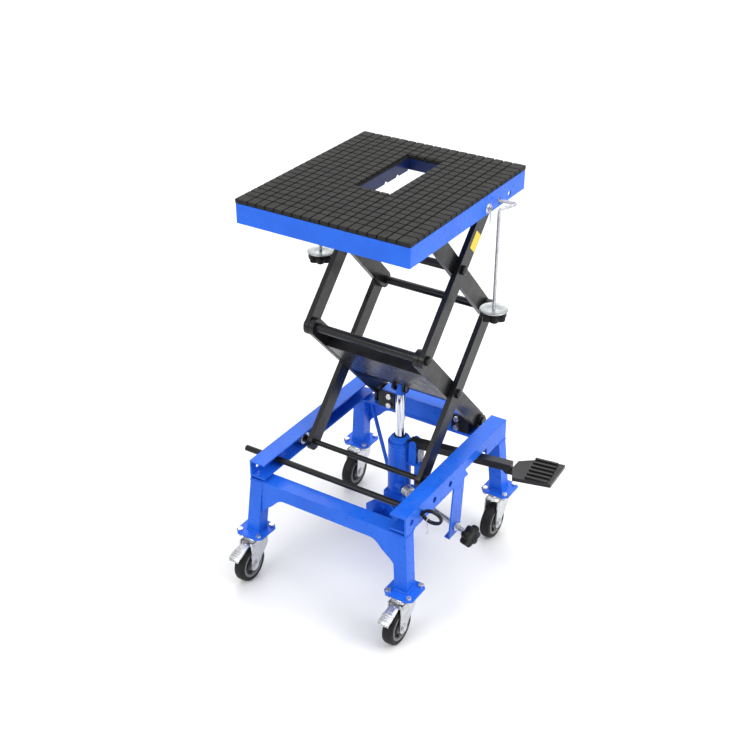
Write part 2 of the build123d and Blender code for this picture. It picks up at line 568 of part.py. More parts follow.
# ================= Clamping hooks =================
HOOK_RADIUS = 3.0
HOOK_X = 189.0
HOOK_ROD_Y = 77.0
HOOK_TIP = (206.0, 117.0)
HOOK_FOOT_Z = FRAME_TOP + 282.0
LEFT_HOOK_RISE = 22.0            # the left hook is screwed up shorter than the right one
WASHER_RADIUS = 26.0
WASHER_RISE = 22.0               # washer above the foot of the rod
KNOB_RADIUS = 25.0
KNOB_HEIGHT = 16.0
KNOB_LOBES = 7
for side, side_name in SIDES:
    foot_z = HOOK_FOOT_Z + (LEFT_HOOK_RISE if side < 0 else 0)
    with BuildPart() as hook_rod:
        with BuildLine() as hook_path:
            FilletPolyline(
                (side * HOOK_X, HOOK_ROD_Y, foot_z),
                (side * HOOK_X, HOOK_ROD_Y, TOP_Z - 3),
                (side * HOOK_TIP[0], HOOK_TIP[1], TOP_Z - 2),
                (side * (DECK_WIDTH / 2 - 12), HOOK_Y - 2.3, TOP_Z),
                radius=5,
            )
        with BuildSketch(on_z(foot_z)):
            with Locations((side * HOOK_X, HOOK_ROD_Y)):
                Circle(HOOK_RADIUS)
        sweep(path=hook_path.wires()[0])
    hook_rod.part.label = f"hook_rod_{side_name}"
    export_step(hook_rod.part, f"parts/hook_rod_{side_name}.step")

    with BuildPart() as hook_washer:
        with BuildSketch(on_z(foot_z + WASHER_RISE)):
            with Locations((side * HOOK_X, HOOK_ROD_Y)):
                Circle(WASHER_RADIUS)
                Circle(HOOK_RADIUS + 0.1, mode=Mode.SUBTRACT)
        extrude(amount=2.5)
    hook_washer.part.label = f"hook_washer_{side_name}"
    export_step(hook_washer.part, f"parts/hook_washer_{side_name}.step")

    with BuildPart() as hook_knob:
        knob_bottom = foot_z + WASHER_RISE - GAP - 2 - KNOB_HEIGHT
        with BuildSketch(on_z(knob_bottom)):
            with Locations((side * HOOK_X, HOOK_ROD_Y)):
                Circle(KNOB_RADIUS - 5)
                with PolarLocations(KNOB_RADIUS - 6, KNOB_LOBES):
                    Circle(6)
        extrude(amount=KNOB_HEIGHT)
        rod_z(side * HOOK_X, HOOK_ROD_Y, 10, knob_bottom + KNOB_HEIGHT, knob_bottom + KNOB_HEIGHT + 2)
        rod_z(side * HOOK_X, HOOK_ROD_Y, HOOK_RADIUS + FIT, knob_bottom, knob_bottom + KNOB_HEIGHT + 2, Mode.SUBTRACT)
    hook_knob.part.label = f"hook_knob_{side_name}"
    export_step(hook_knob.part, f"parts/hook_knob_{side_name}.step")

# ================= Release line =================
# The release rod runs level from a knob outside the right rail to the valve on the jack.
RELEASE_Z = 132.0
RELEASE_END = (206.0, -16.2)     # X and Y where the rod enters the knob
RELEASE_SLOPE = -0.346           # change of Y per unit of X
VALVE_ROOT_X = 6.0
VALVE_BOSS_X = 24.0
VALVE_STEM_X = 41.0
VALVE_BOSS_RADIUS = 7.0
VALVE_STEM_RADIUS = 3.0


def release_point(x):
    """Point of the release rod's axis at the given X."""
    return Vector(x, RELEASE_END[1] + RELEASE_SLOPE * (x - RELEASE_END[0]), RELEASE_Z)


def release_plane(x):
    """Sketch plane across the release rod, which faces outwards along it."""
    return Plane(origin=release_point(x), x_dir=(0, 0, 1), z_dir=(1, RELEASE_SLOPE, 0))


def release_length(x_from, x_to):
    """Distance along the release rod between two values of X."""
    return (release_point(x_to) - release_point(x_from)).length


# ================= Hydraulic jack =================
RAM_PIN_Y, RAM_PIN_Z = along_arm(*RAM_PIN)
JACK_Y = RAM_PIN_Y               # upright at rest
JACK_PIVOT_Z = FRAME_TOP - 183.0
JACK_PIVOT_RADIUS = 5.0
BLOCK_HALF = 24.0
BLOCK_LOW = JACK_PIVOT_Z - 13.0
BLOCK_TOP = JACK_PIVOT_Z + 14.0
CYLINDER_RADIUS = 23.8
CAP_RADIUS = 20.5
CYLINDER_TOP = JACK_PIVOT_Z + 143.0
CAP_TOP = CYLINDER_TOP + 7.0
RAM_RADIUS = 10.0
RAM_BOTTOM = JACK_PIVOT_Z + 44.0  # leaves the ram its travel down to the lowest locked height
BORE_BOTTOM = JACK_PIVOT_Z + 7.5
MANIFOLD_TOP = BLOCK_TOP + 10.0
MANIFOLD_REACH = 61.0            # X that the pump's end of the manifold reaches
with BuildPart() as jack_base:
    with BuildSketch(on_z(BLOCK_LOW)):
        with Locations((0, JACK_Y)):
            RectangleRounded(2 * BLOCK_HALF, 52, 5)
    extrude(amount=MANIFOLD_TOP - BLOCK_LOW)
    with BuildSketch(on_z(BLOCK_TOP)):
        with Locations((MANIFOLD_REACH / 2, JACK_Y)):
            RectangleRounded(MANIFOLD_REACH, 32, 5)
    extrude(amount=MANIFOLD_TOP - BLOCK_TOP)
    rod_x(JACK_Y, JACK_PIVOT_Z, JACK_PIVOT_RADIUS + FIT, -BLOCK_HALF - 1, BLOCK_HALF + 1, Mode.SUBTRACT)
    rod_z(0, JACK_Y, RAM_RADIUS + FIT, BORE_BOTTOM, MANIFOLD_TOP, Mode.SUBTRACT)
jack_base.part.label = "jack_base"
export_step(jack_base.part, "parts/jack_base.step")

with BuildPart() as jack_cylinder:
    rod_z(0, JACK_Y, CYLINDER_RADIUS, MANIFOLD_TOP, CYLINDER_TOP)
    rod_z(0, JACK_Y, CAP_RADIUS, CYLINDER_TOP, CAP_TOP)
    chamfer(jack_cylinder.edges().group_by(Axis.Z)[-1], 2)
    # release valve: a boss on the wall and the stem that the release rod's socket turns
    for radius, far in ((VALVE_BOSS_RADIUS, VALVE_BOSS_X), (VALVE_STEM_RADIUS, VALVE_STEM_X)):
        with BuildSketch(release_plane(VALVE_ROOT_X)):
            Circle(radius)
        extrude(amount=release_length(VALVE_ROOT_X, far))
    rod_z(0, JACK_Y, RAM_RADIUS + FIT, MANIFOLD_TOP, CAP_TOP, Mode.SUBTRACT)
jack_cylinder.part.label = "jack_cylinder"
export_step(jack_cylinder.part, "parts/jack_cylinder.step")

with BuildPart() as jack_ram:
    rod_z(0, JACK_Y, RAM_RADIUS, RAM_BOTTOM, RAM_PIN_Z - 18)
jack_ram.part.label = "jack_ram"
export_step(jack_ram.part, "parts/jack_ram.step")

# Pointed head screwed on the ram, with the pin that works in the lugs of the lift plate
NOSE_RADIUS = 9.5
NOSE_TIP = 4.5
NOSE_LOW = 13.0                  # where the cone starts, below the pin
NOSE_HIGH = 9.0                  # tip above the pin
PIN_WASHER_RADIUS = 8.5
with BuildPart() as ram_head:
    rod_z(0, JACK_Y, NOSE_RADIUS, RAM_PIN_Z - 18, RAM_PIN_Z - NOSE_LOW)
    with Locations((0, JACK_Y, RAM_PIN_Z + (NOSE_HIGH - NOSE_LOW) / 2)):
        Cone(NOSE_RADIUS, NOSE_TIP, NOSE_HIGH + NOSE_LOW)
    rod_x(RAM_PIN_Y, RAM_PIN_Z, RAM_PIN_RADIUS, -LUG_X[1] - 3, LUG_X[1] + 3)
    for side, side_name in SIDES:
        rod_x(RAM_PIN_Y, RAM_PIN_Z, PIN_WASHER_RADIUS, side * (LUG_X[1] + 0.6), side * (LUG_X[1] + 3))
ram_head.part.label = "ram_head"
export_step(ram_head.part, "parts/ram_head.step")

# Cradle that holds the jack's pivot pin: floor plate, cheeks and a front upstand, hung from the
# front crossmember by a strap and from the rear corners by two braces
CRADLE_Z = BLOCK_LOW - 9.0
CRADLE_SHEET = 4.0
CRADLE_Y = (8.0, 118.0)
CHEEK_X = BLOCK_HALF + 1.0
UPSTAND_HALF = 38.0
STRAP_HALF = 22.0
BRACE_THICK = 5.0
BRACE_DEPTH = 7.0
BRACE_FOOT_X = UPSTAND_HALF - 4.0
BRACE_TOP = (130.0, 169.0)
with BuildPart() as jack_cradle:
    with BuildSketch(on_z(CRADLE_Z)):
        with Locations((0, (CRADLE_Y[0] + CRADLE_Y[1]) / 2)):
            Rectangle(2 * UPSTAND_HALF, CRADLE_Y[1] - CRADLE_Y[0])
    extrude(amount=CRADLE_SHEET)
    with BuildSketch(on_y(CRADLE_Y[0])):
        with BuildLine():
            Polyline(
                (-UPSTAND_HALF, CRADLE_Z),
                (UPSTAND_HALF, CRADLE_Z),
                (UPSTAND_HALF, CRADLE_Z + 34),
                (UPSTAND_HALF - 18, CRADLE_Z + 50),
                (-UPSTAND_HALF + 18, CRADLE_Z + 50),
                (-UPSTAND_HALF, CRADLE_Z + 34),
                close=True,
            )
        make_face()
    extrude(amount=CRADLE_SHEET)
    for side, side_name in SIDES:
        with BuildSketch(on_x(side * CHEEK_X)):
            with Locations((JACK_Y, (CRADLE_Z + JACK_PIVOT_Z) / 2)):
                Rectangle(24, JACK_PIVOT_Z - CRADLE_Z)
            with Locations((JACK_Y, JACK_PIVOT_Z)):
                Circle(12)
        extrude(amount=side * CRADLE_SHEET)
    rod_x(JACK_Y, JACK_PIVOT_Z, JACK_PIVOT_RADIUS, -CHEEK_X - CRADLE_SHEET - 3, CHEEK_X + CRADLE_SHEET + 3)
    with BuildSketch(on_y(CRADLE_Y[0] - CRADLE_SHEET)):
        with Locations((0, CRADLE_Z + 40)):
            RegularPolygon(7, 6)
    extrude(amount=5)
    # front strap: along the underside of the crossmember's flange, then down to the upstand
    with BuildSketch(on_x(-STRAP_HALF)):
        with BuildLine():
            Polyline(
                (-HALF_LENGTH + SHEET + 1, UNDER_FRAME - SHEET),
                (-HALF_LENGTH + FLANGE, UNDER_FRAME - SHEET),
                (CRADLE_Y[0] - CRADLE_SHEET, CRADLE_Z + 20),
                (CRADLE_Y[0] - CRADLE_SHEET, CRADLE_Z + 15),
                (-HALF_LENGTH + FLANGE - 2, UNDER_FRAME - SHEET - 4),
                (-HALF_LENGTH + SHEET + 1, UNDER_FRAME - SHEET - 4),
                close=True,
            )
        make_face()
    extrude(amount=2 * STRAP_HALF)
    # rear braces: flat bars from the rear crossmember's flange down to the floor plate
    for side, side_name in SIDES:
        with BuildSketch(on_z(CRADLE_Z)):
            with Locations((side * BRACE_FOOT_X, CRADLE_Y[1] - 8)):
                Rectangle(BRACE_THICK, BRACE_DEPTH)
        with BuildSketch(on_z(UNDER_FRAME - SHEET)):
            with Locations((side * BRACE_TOP[0], BRACE_TOP[1])):
                Rectangle(BRACE_THICK, BRACE_DEPTH)
        loft()
jack_cradle.part.label = "jack_cradle"
export_step(jack_cradle.part, "parts/jack_cradle.step")

# ================= Foot pump =================
FULCRUM = (34.0, JACK_Y, FRAME_TOP - 34.0)
FULCRUM_RADIUS = 4.0
LEVER_TURN = 8.0                 # the lever points this many degrees to the rear of +X
LEVER_HALF = 9.0
LEVER_LOW = -8.0                 # underside of the lever, measured from the fulcrum
LEVER_HIGH = 7.0
LEVER_END = 204.0
PLUNGER_ARM = 12.0               # fulcrum to plunger, along the lever
PLUNGER_RADIUS = 5.0
PUMP_HEAD_Z = 186.0
PUMP_HEAD_THICK = 4.0
lever_frame = Plane(
    origin=FULCRUM,
    x_dir=(cos(radians(LEVER_TURN)), sin(radians(LEVER_TURN)), 0),
    z_dir=(0, 0, 1),
)
PLUNGER_AT = lever_frame.from_local_coords(Vector(PLUNGER_ARM, 0, 0))


def beside_lever(distance):
    """Sketch plane along the lever and upright, at a distance towards the front."""
    side_view = Plane(
        origin=FULCRUM,
        x_dir=lever_frame.x_dir,
        z_dir=(sin(radians(LEVER_TURN)), -cos(radians(LEVER_TURN)), 0),
    )
    return side_view.offset(distance)


with BuildPart() as pump_housing:
    rod_z(PLUNGER_AT.X, PLUNGER_AT.Y, 11, MANIFOLD_TOP, PUMP_HEAD_Z)
    with BuildSketch(on_z(PUMP_HEAD_Z)):
        with Locations((43, JACK_Y + 1)):
            RectangleRounded(36, 32, 4)
    extrude(amount=PUMP_HEAD_THICK)
    for side, side_name in SIDES:
        with BuildSketch(beside_lever(side * (LEVER_HALF + GAP))):
            with BuildLine():
                Polyline(
                    (-7, PUMP_HEAD_Z + 1 - FULCRUM[2]),
                    (8, PUMP_HEAD_Z + 1 - FULCRUM[2]),
                    (7, 2),
                    (-7, 2),
                    close=True,
                )
            make_face()
            Circle(7.5)
        extrude(amount=side * 4)
    with BuildSketch(beside_lever(-LEVER_HALF - GAP - 6)):
        Circle(FULCRUM_RADIUS)
    extrude(amount=2 * (LEVER_HALF + GAP + 6))
    rod_z(
        PLUNGER_AT.X, PLUNGER_AT.Y, PLUNGER_RADIUS + FIT,
        MANIFOLD_TOP + 4, PUMP_HEAD_Z + PUMP_HEAD_THICK, Mode.SUBTRACT,
    )
pump_housing.part.label = "pump_housing"
export_step(pump_housing.part, "parts/pump_housing.step")

PLUNGER_GAP = 0.6
with BuildPart() as pump_plunger:
    rod_z(PLUNGER_AT.X, PLUNGER_AT.Y, PLUNGER_RADIUS, 150, FULCRUM[2] + LEVER_LOW - PLUNGER_GAP)
    chamfer(pump_plunger.edges().group_by(Axis.Z)[-1], 2.5)
pump_plunger.part.label = "pump_plunger"
export_step(pump_plunger.part, "parts/pump_plunger.step")

# Pedal: a lever that comes out under the right rail's top flange, and a ribbed foot plate
FOOT_PLATE_Z = FRAME_TOP - 41.0
TONGUE_Z = FRAME_TOP - 48.0
FOOT_PLATE_THICK = 8.0
FOOT_PLATE = ((239.5, 93), (239.5, 122), (272, 148), (322, 158), (326, 83), (254, 65))
RIB_COUNT = 6
RIB_HEIGHT = 4.0
RIB_MIDDLE = 262.0               # along the lever from the fulcrum
RIB_START = -27.0
RIB_PITCH = 13.2
with BuildPart() as pedal_arm:
    with BuildSketch(beside_lever(-LEVER_HALF)):
        with BuildLine():
            Polyline(
                (-8, LEVER_LOW),
                (LEVER_END - 16, LEVER_LOW),
                (LEVER_END - 10, TONGUE_Z - FULCRUM[2]),
                (LEVER_END + 50, TONGUE_Z - FULCRUM[2]),
                (LEVER_END + 50, FOOT_PLATE_Z - FULCRUM[2]),
                (LEVER_END, FOOT_PLATE_Z - FULCRUM[2]),
                (LEVER_END, LEVER_HIGH),
                (-8, LEVER_HIGH),
                close=True,
            )
        make_face()
        Circle(FULCRUM_RADIUS + FIT, mode=Mode.SUBTRACT)
    extrude(amount=2 * LEVER_HALF)
pedal_arm.part.label = "pedal_arm"
export_step(pedal_arm.part, "parts/pedal_arm.step")

with BuildPart() as pedal_plate:
    with BuildSketch(on_z(FOOT_PLATE_Z)):
        with BuildLine():
            Polyline(*FOOT_PLATE, close=True)
        make_face()
    extrude(amount=FOOT_PLATE_THICK)
    with BuildSketch(on_z(FOOT_PLATE_Z + FOOT_PLATE_THICK)):
        for rib in range(RIB_COUNT):
            rib_at = lever_frame.from_local_coords(Vector(RIB_MIDDLE, RIB_START + rib * RIB_PITCH, 0))
            with Locations((rib_at.X, rib_at.Y)):
                Rectangle(46, 5, rotation=LEVER_TURN)
    extrude(amount=RIB_HEIGHT)
pedal_plate.part.label = "pedal_plate"
export_step(pedal_plate.part, "parts/pedal_plate.step")

# ================= Release rod and its bracket =================
RELEASE_RADIUS = 5.0
BRACKET_HOLE = release_point(HALF_WIDTH - SHEET / 2).Y
with BuildPart() as release_bracket:
    with BuildSketch(on_x(HALF_WIDTH - SHEET)):
        with BuildLine():
            Polyline((-17, UNDER_FRAME), (-29, 115), (13, 113), (24, UNDER_FRAME), close=True)
        make_face()
        with Locations((BRACKET_HOLE, RELEASE_Z)):
            Circle(RELEASE_RADIUS + 1.5, mode=Mode.SUBTRACT)
    extrude(amount=SHEET)
    # foot folded inwards
    with BuildSketch(on_z(113)):
        with BuildLine():
            Polyline(
                (HALF_WIDTH, -29),
                (HALF_WIDTH, 13),
                (HALF_WIDTH - 12, 11),
                (HALF_WIDTH - 12, -27),
                close=True,
            )
        make_face()
    extrude(amount=SHEET)
release_bracket.part.label = "release_bracket"
export_step(release_bracket.part, "parts/release_bracket.step")

SOCKET_X = (31.0, 46.0)
SOCKET_RADIUS = 12.0
SOCKET_BORE = 10.0
with BuildPart() as release_rod:
    with BuildSketch(release_plane(SOCKET_X[1] - 1)):
        Circle(RELEASE_RADIUS)
    extrude(amount=release_length(SOCKET_X[1] - 1, RELEASE_END[0]))
    with BuildSketch(release_plane(SOCKET_X[0])):
        Circle(SOCKET_RADIUS)
    extrude(amount=release_length(*SOCKET_X))
    with BuildSketch(release_plane(SOCKET_X[0])):
        Circle(SOCKET_BORE)
    extrude(amount=release_length(SOCKET_X[0], SOCKET_X[1] - 3), mode=Mode.SUBTRACT)
release_rod.part.label = "release_rod"
export_step(release_rod.part, "parts/release_rod.step")

with BuildPart() as release_knob:
    with BuildSketch(release_plane(RELEASE_END[0])):
        Circle(18)
        with PolarLocations(17.5, 7):
            Circle(5.5)
    extrude(amount=16)
release_knob.part.label = "release_knob"
export_step(release_knob.part, "parts/release_knob.step")

# ================= Safety bar =================
BAR_LEFT_END = -224.0
LOOP_X = 195.5
LOOP_HALF = (21.5, 14.5)
LOOP_WIRE = 5.0
CLIP_X = 187.0
with BuildPart() as safety_bar:
    rod_x(SAFETY_BAR_Y, LOCK_Z, SAFETY_BAR_RADIUS, BAR_LEFT_END, LOOP_X - LOOP_HALF[0] + 2.5)
    with BuildSketch(on_y(SAFETY_BAR_Y + LOOP_WIRE / 2)):
        with Locations((LOOP_X, LOCK_Z - 1)):
            Ellipse(*LOOP_HALF)
            Ellipse(LOOP_HALF[0] - LOOP_WIRE, LOOP_HALF[1] - LOOP_WIRE, mode=Mode.SUBTRACT)
    extrude(amount=LOOP_WIRE)
safety_bar.part.label = "safety_bar"
export_step(safety_bar.part, "parts/safety_bar.step")

# Hairpin clip whose eye hangs on the loop
CLIP_EYE_Z = LOCK_Z - 1 - (LOOP_HALF[1] - LOOP_WIRE / 2) * (1 - ((LOOP_X - CLIP_X) / (LOOP_HALF[0] - 2.5)) ** 2) ** 0.5
CLIP_EYE = 6.0
with BuildPart() as hitch_clip:
    Torus(CLIP_EYE, 1.0)
clip_eye = hitch_clip.part.rotate(Axis.Y, 90).moved(Location((CLIP_X, SAFETY_BAR_Y, CLIP_EYE_Z)))
with BuildPart() as hitch_clip:
    add(clip_eye)
    with BuildLine() as clip_path:
        FilletPolyline(
            (CLIP_X, SAFETY_BAR_Y, CLIP_EYE_Z - CLIP_EYE),
            (CLIP_X, SAFETY_BAR_Y - 3, CLIP_EYE_Z - 14),
            (CLIP_X, SAFETY_BAR_Y + 3, CLIP_EYE_Z - 22),
            (CLIP_X, SAFETY_BAR_Y - 3, CLIP_EYE_Z - 28),
            radius=2.5,
        )
    with BuildSketch(Plane(origin=clip_path.line @ 0, z_dir=clip_path.line % 0)):
        Circle(1.0)
    sweep(path=clip_path.wires()[0])
hitch_clip.part.label = "hitch_clip"
export_step(hitch_clip.part, "parts/hitch_clip.step")

# ================= Casters =================
CASTER_PLATE = 56.0
KINGPIN_RADIUS = 5.0
CROWN_TOP = PLATE_BOTTOM - GAP
CROWN_BOTTOM = CROWN_TOP - 9.6
with BuildPart() as caster_plates:
    for side, side_name in SIDES:
        for end, end_name in ENDS:
            at = (side * CASTER_X, end * CASTER_Y)
            with BuildSketch(on_z(PLATE_BOTTOM)):
                with Locations(at):
                    RectangleRounded(CASTER_PLATE, CASTER_PLATE, 5)
                    with GridLocations(FOOT_BOLTS, FOOT_BOLTS, 2, 2):
                        Circle(CASTER_BOLT_RADIUS + FIT, mode=Mode.SUBTRACT)
            extrude(amount=3)
            rod_z(at[0], at[1], KINGPIN_RADIUS, CROWN_BOTTOM - 4, PLATE_BOTTOM)
            rod_z(at[0], at[1], 8, CROWN_BOTTOM - 4, CROWN_BOTTOM - GAP)
caster_plates.part.label = "caster_plates"
export_step(caster_plates.part, "parts/caster_plates.step")

FORK_INSIDE = 13.0
FORK_SHEET = 2.5
AXLE_RADIUS = 4.0
BRAKE_PIN_RADIUS = 2.5
BRAKE_Z = 84.0
BRAKE_BACK = 29.0                # brake hinge in front of the kingpin
for side, side_name in SIDES:
    for end, end_name in ENDS:
        at_x = side * CASTER_X
        at_y = end * CASTER_Y
        axle_y = at_y - TRAIL
        with BuildPart() as fork:
            rod_z(at_x, at_y, 21, CROWN_BOTTOM, CROWN_TOP)
            for flank in (-1, 1):
                with BuildSketch(on_x(at_x + flank * FORK_INSIDE)):
                    with BuildLine():
                        Polyline(
                            (at_y + 15, CROWN_BOTTOM + 3),
                            (at_y - 20, CROWN_BOTTOM + 3),
                            (at_y - BRAKE_BACK - 6, BRAKE_Z + 6),
                            (at_y - BRAKE_BACK - 7, BRAKE_Z - 7),
                            (axle_y - 12, WHEEL_RADIUS),
                            (axle_y, WHEEL_RADIUS - 12),
                            (axle_y + 12, WHEEL_RADIUS),
                            (at_y + 15, CROWN_BOTTOM - 22),
                            close=True,
                        )
                    make_face()
                    with Locations((axle_y, WHEEL_RADIUS)):
                        Circle(12)
                    if end < 0:
                        with Locations((at_y - BRAKE_BACK, BRAKE_Z)):
                            Circle(BRAKE_PIN_RADIUS + FIT, mode=Mode.SUBTRACT)
                extrude(amount=flank * FORK_SHEET)
            rod_x(axle_y, WHEEL_RADIUS, AXLE_RADIUS, at_x - 19, at_x + 19)
            for flank in (-1, 1):
                flank_x = at_x + flank * (FORK_INSIDE + FORK_SHEET)
                hexagon_x(axle_y, WHEEL_RADIUS, 7, flank_x, flank_x + flank * 3)
            rod_z(at_x, at_y, KINGPIN_RADIUS + FIT, CROWN_BOTTOM, CROWN_TOP, Mode.SUBTRACT)
        fork.part.label = f"caster_fork_{end_name}_{side_name}"
        export_step(fork.part, f"parts/caster_fork_{end_name}_{side_name}.step")

        with BuildPart() as wheel:
            rod_x(axle_y, WHEEL_RADIUS, WHEEL_RADIUS, at_x - WHEEL_WIDTH / 2, at_x + WHEEL_WIDTH / 2)
            fillet(wheel.edges().filter_by(GeomType.CIRCLE), 5)
            rod_x(axle_y, WHEEL_RADIUS, 9, at_x - FORK_INSIDE + GAP, at_x + FORK_INSIDE - GAP)
            rod_x(
                axle_y, WHEEL_RADIUS, AXLE_RADIUS + FIT,
                at_x - FORK_INSIDE, at_x + FORK_INSIDE, Mode.SUBTRACT,
            )
        wheel.part.label = f"wheel_{end_name}_{side_name}"
        export_step(wheel.part, f"parts/wheel_{end_name}_{side_name}.step")

# Brake pedals on the two front casters
for side, side_name in SIDES:
    at_x = side * CASTER_X
    hinge_y = -CASTER_Y - BRAKE_BACK
    with BuildPart() as brake_pedal:
        rod_x(hinge_y, BRAKE_Z, BRAKE_PIN_RADIUS, at_x - 17, at_x + 17)
        rod_x(hinge_y, BRAKE_Z, 4.5, at_x - 12, at_x + 12)
        with BuildSketch(on_x(at_x - 12)):
            with BuildLine():
                Polyline(
                    (hinge_y, BRAKE_Z + 4),
                    (hinge_y - 14, BRAKE_Z + 2),
                    (hinge_y - 44, BRAKE_Z - 7),
                    (hinge_y - 47, BRAKE_Z - 13),
                    (hinge_y - 45, BRAKE_Z - 14),
                    (hinge_y - 41, BRAKE_Z - 9),
                    (hinge_y - 13, BRAKE_Z - 1),
                    (hinge_y, BRAKE_Z - 2),
                    close=True,
                )
            make_face()
        extrude(amount=24)
    brake_pedal.part.label = f"brake_pedal_{side_name}"
    export_step(brake_pedal.part, f"parts/brake_pedal_{side_name}.step")
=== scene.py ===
"""Looks of the foot-pumped scissor lift table, in metres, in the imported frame's coordinates."""
import math

import bmesh
import bpy
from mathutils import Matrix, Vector


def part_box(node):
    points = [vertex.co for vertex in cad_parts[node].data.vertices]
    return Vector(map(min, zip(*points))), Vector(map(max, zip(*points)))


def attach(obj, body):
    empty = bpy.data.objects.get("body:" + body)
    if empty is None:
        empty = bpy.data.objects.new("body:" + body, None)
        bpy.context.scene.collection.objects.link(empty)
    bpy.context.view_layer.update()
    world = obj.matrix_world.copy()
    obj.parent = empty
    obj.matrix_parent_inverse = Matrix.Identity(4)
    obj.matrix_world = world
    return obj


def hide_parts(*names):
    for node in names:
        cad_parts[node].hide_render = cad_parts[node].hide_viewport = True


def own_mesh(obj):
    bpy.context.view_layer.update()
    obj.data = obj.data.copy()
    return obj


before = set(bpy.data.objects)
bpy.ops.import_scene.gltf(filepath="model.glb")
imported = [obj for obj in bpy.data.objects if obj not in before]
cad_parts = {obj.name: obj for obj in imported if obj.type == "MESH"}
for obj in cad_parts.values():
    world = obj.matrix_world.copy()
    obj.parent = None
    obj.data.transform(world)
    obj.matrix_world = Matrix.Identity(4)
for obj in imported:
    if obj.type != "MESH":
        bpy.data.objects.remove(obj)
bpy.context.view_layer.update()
scene = bpy.context.scene
MM = 0.001
SIDES = ((-1, "left"), (1, "right"))
ENDS = ((-1, "front"), (1, "rear"))

# The deck's window, shared by the painted shade on its inner faces and by its mat
WINDOW_HALF = 35.0 * MM
WINDOW_FRONT, WINDOW_BACK = -37.0 * MM, 144.0 * MM


# ================= Node materials =================
class Graph:
    """A node material under construction. Sizes are in metres, read in the object's own space."""

    BEVEL_RAYS = 4
    EDGE_FROM, EDGE_TO = 0.97, 0.80     # cosine of the softened normal where an edge starts and is full

    def __init__(self, name):
        self.mat = bpy.data.materials.new(name)
        self.mat.use_nodes = True
        self.tree = self.mat.node_tree
        self.tree.nodes.clear()
        self.out = self.add("ShaderNodeOutputMaterial")
        self.bsdf = self.add("ShaderNodeBsdfPrincipled")
        self.link(self.bsdf.outputs[0], self.out.inputs[0])
        self.where = self.add("ShaderNodeTexCoord").outputs["Object"]

    def add(self, kind, **settings):
        node = self.tree.nodes.new(kind)
        for key, value in settings.items():
            setattr(node, key, value)
        return node

    def link(self, source, target):
        self.tree.links.new(source, target)

    def feed(self, socket, value):
        if isinstance(value, bpy.types.NodeSocket):
            self.link(value, socket)
        else:
            socket.default_value = value

    def stretched(self, factors):
        node = self.add("ShaderNodeVectorMath", operation="MULTIPLY")
        self.link(self.where, node.inputs[0])
        node.inputs[1].default_value = factors
        return node.outputs[0]

    def noise(self, size, detail=3.0, rough=0.55, stretch=None):
        node = self.add("ShaderNodeTexNoise")
        self.link(self.stretched(stretch) if stretch else self.where, node.inputs["Vector"])
        node.inputs["Scale"].default_value = 1.0 / size
        node.inputs["Detail"].default_value = detail
        node.inputs["Roughness"].default_value = rough
        return node.outputs["Fac"]

    def cells(self, size):
        node = self.add("ShaderNodeTexVoronoi", feature="F1")
        self.link(self.where, node.inputs["Vector"])
        node.inputs["Scale"].default_value = 1.0 / size
        return node.outputs["Distance"]

    def span(self, value, low, high, to_low=0.0, to_high=1.0):
        node = self.add("ShaderNodeMapRange", clamp=True, interpolation_type="SMOOTHSTEP")
        self.link(value, node.inputs[0])
        for index, number in enumerate((low, high, to_low, to_high)):
            node.inputs[index + 1].default_value = number
        return node.outputs[0]

    def math(self, operation, a, b=0.0):
        node = self.add("ShaderNodeMath", operation=operation)
        self.feed(node.inputs[0], a)
        self.feed(node.inputs[1], b)
        return node.outputs[0]

    def times(self, a, b):
        return self.math("MULTIPLY", a, b)

    def plus(self, a, b):
        return self.math("ADD", a, b)

    def mix(self, amount, a, b):
        node = self.add("ShaderNodeMix", data_type="RGBA", clamp_factor=True)
        self.feed(node.inputs[0], amount)
        self.feed(node.inputs[6], a if isinstance(a, bpy.types.NodeSocket) else (*a, 1.0))
        self.feed(node.inputs[7], b if isinstance(b, bpy.types.NodeSocket) else (*b, 1.0))
        return node.outputs[2]

    def bump(self, height, distance, strength=1.0, normal=None):
        node = self.add("ShaderNodeBump")
        self.link(height, node.inputs["Height"])
        node.inputs["Distance"].default_value = distance
        node.inputs["Strength"].default_value = strength
        if normal:
            self.link(normal, node.inputs["Normal"])
        return node.outputs[0]

    def rounded(self, radius):
        """Normal with softened edges, and a mask that is 1 on those edges."""
        soft = self.add("ShaderNodeBevel", samples=self.BEVEL_RAYS)
        soft.inputs["Radius"].default_value = radius
        plain = self.add("ShaderNodeNewGeometry")
        dot = self.add("ShaderNodeVectorMath", operation="DOT_PRODUCT")
        self.link(soft.outputs[0], dot.inputs[0])
        self.link(plain.outputs["Normal"], dot.inputs[1])
        return soft.outputs[0], self.span(dot.outputs["Value"], self.EDGE_FROM, self.EDGE_TO)

    def upward(self, low=0.6, high=0.98):
        """1 where the surface faces up."""
        plain = self.add("ShaderNodeNewGeometry")
        parts = self.add("ShaderNodeSeparateXYZ")
        self.link(plain.outputs["Normal"], parts.inputs[0])
        return self.span(parts.outputs["Z"], low, high)

    def inside(self, low, high):
        """1 in the box between two corners of the object's own space."""
        parts = self.add("ShaderNodeSeparateXYZ")
        self.link(self.where, parts.inputs[0])
        mask = 1.0
        for axis in range(3):
            for operation, limit in (("GREATER_THAN", low[axis]), ("LESS_THAN", high[axis])):
                mask = self.times(self.math(operation, parts.outputs[axis], limit), mask)
        return mask

    def finish(self, colour, roughness, normal, metallic=0.0, specular=0.5):
        self.feed(self.bsdf.inputs["Base Color"], colour)
        self.feed(self.bsdf.inputs["Roughness"], roughness)
        self.feed(self.bsdf.inputs["Normal"], normal)
        self.feed(self.bsdf.inputs["Metallic"], metallic)
        self.bsdf.inputs["Specular IOR Level"].default_value = specular
        return self.mat


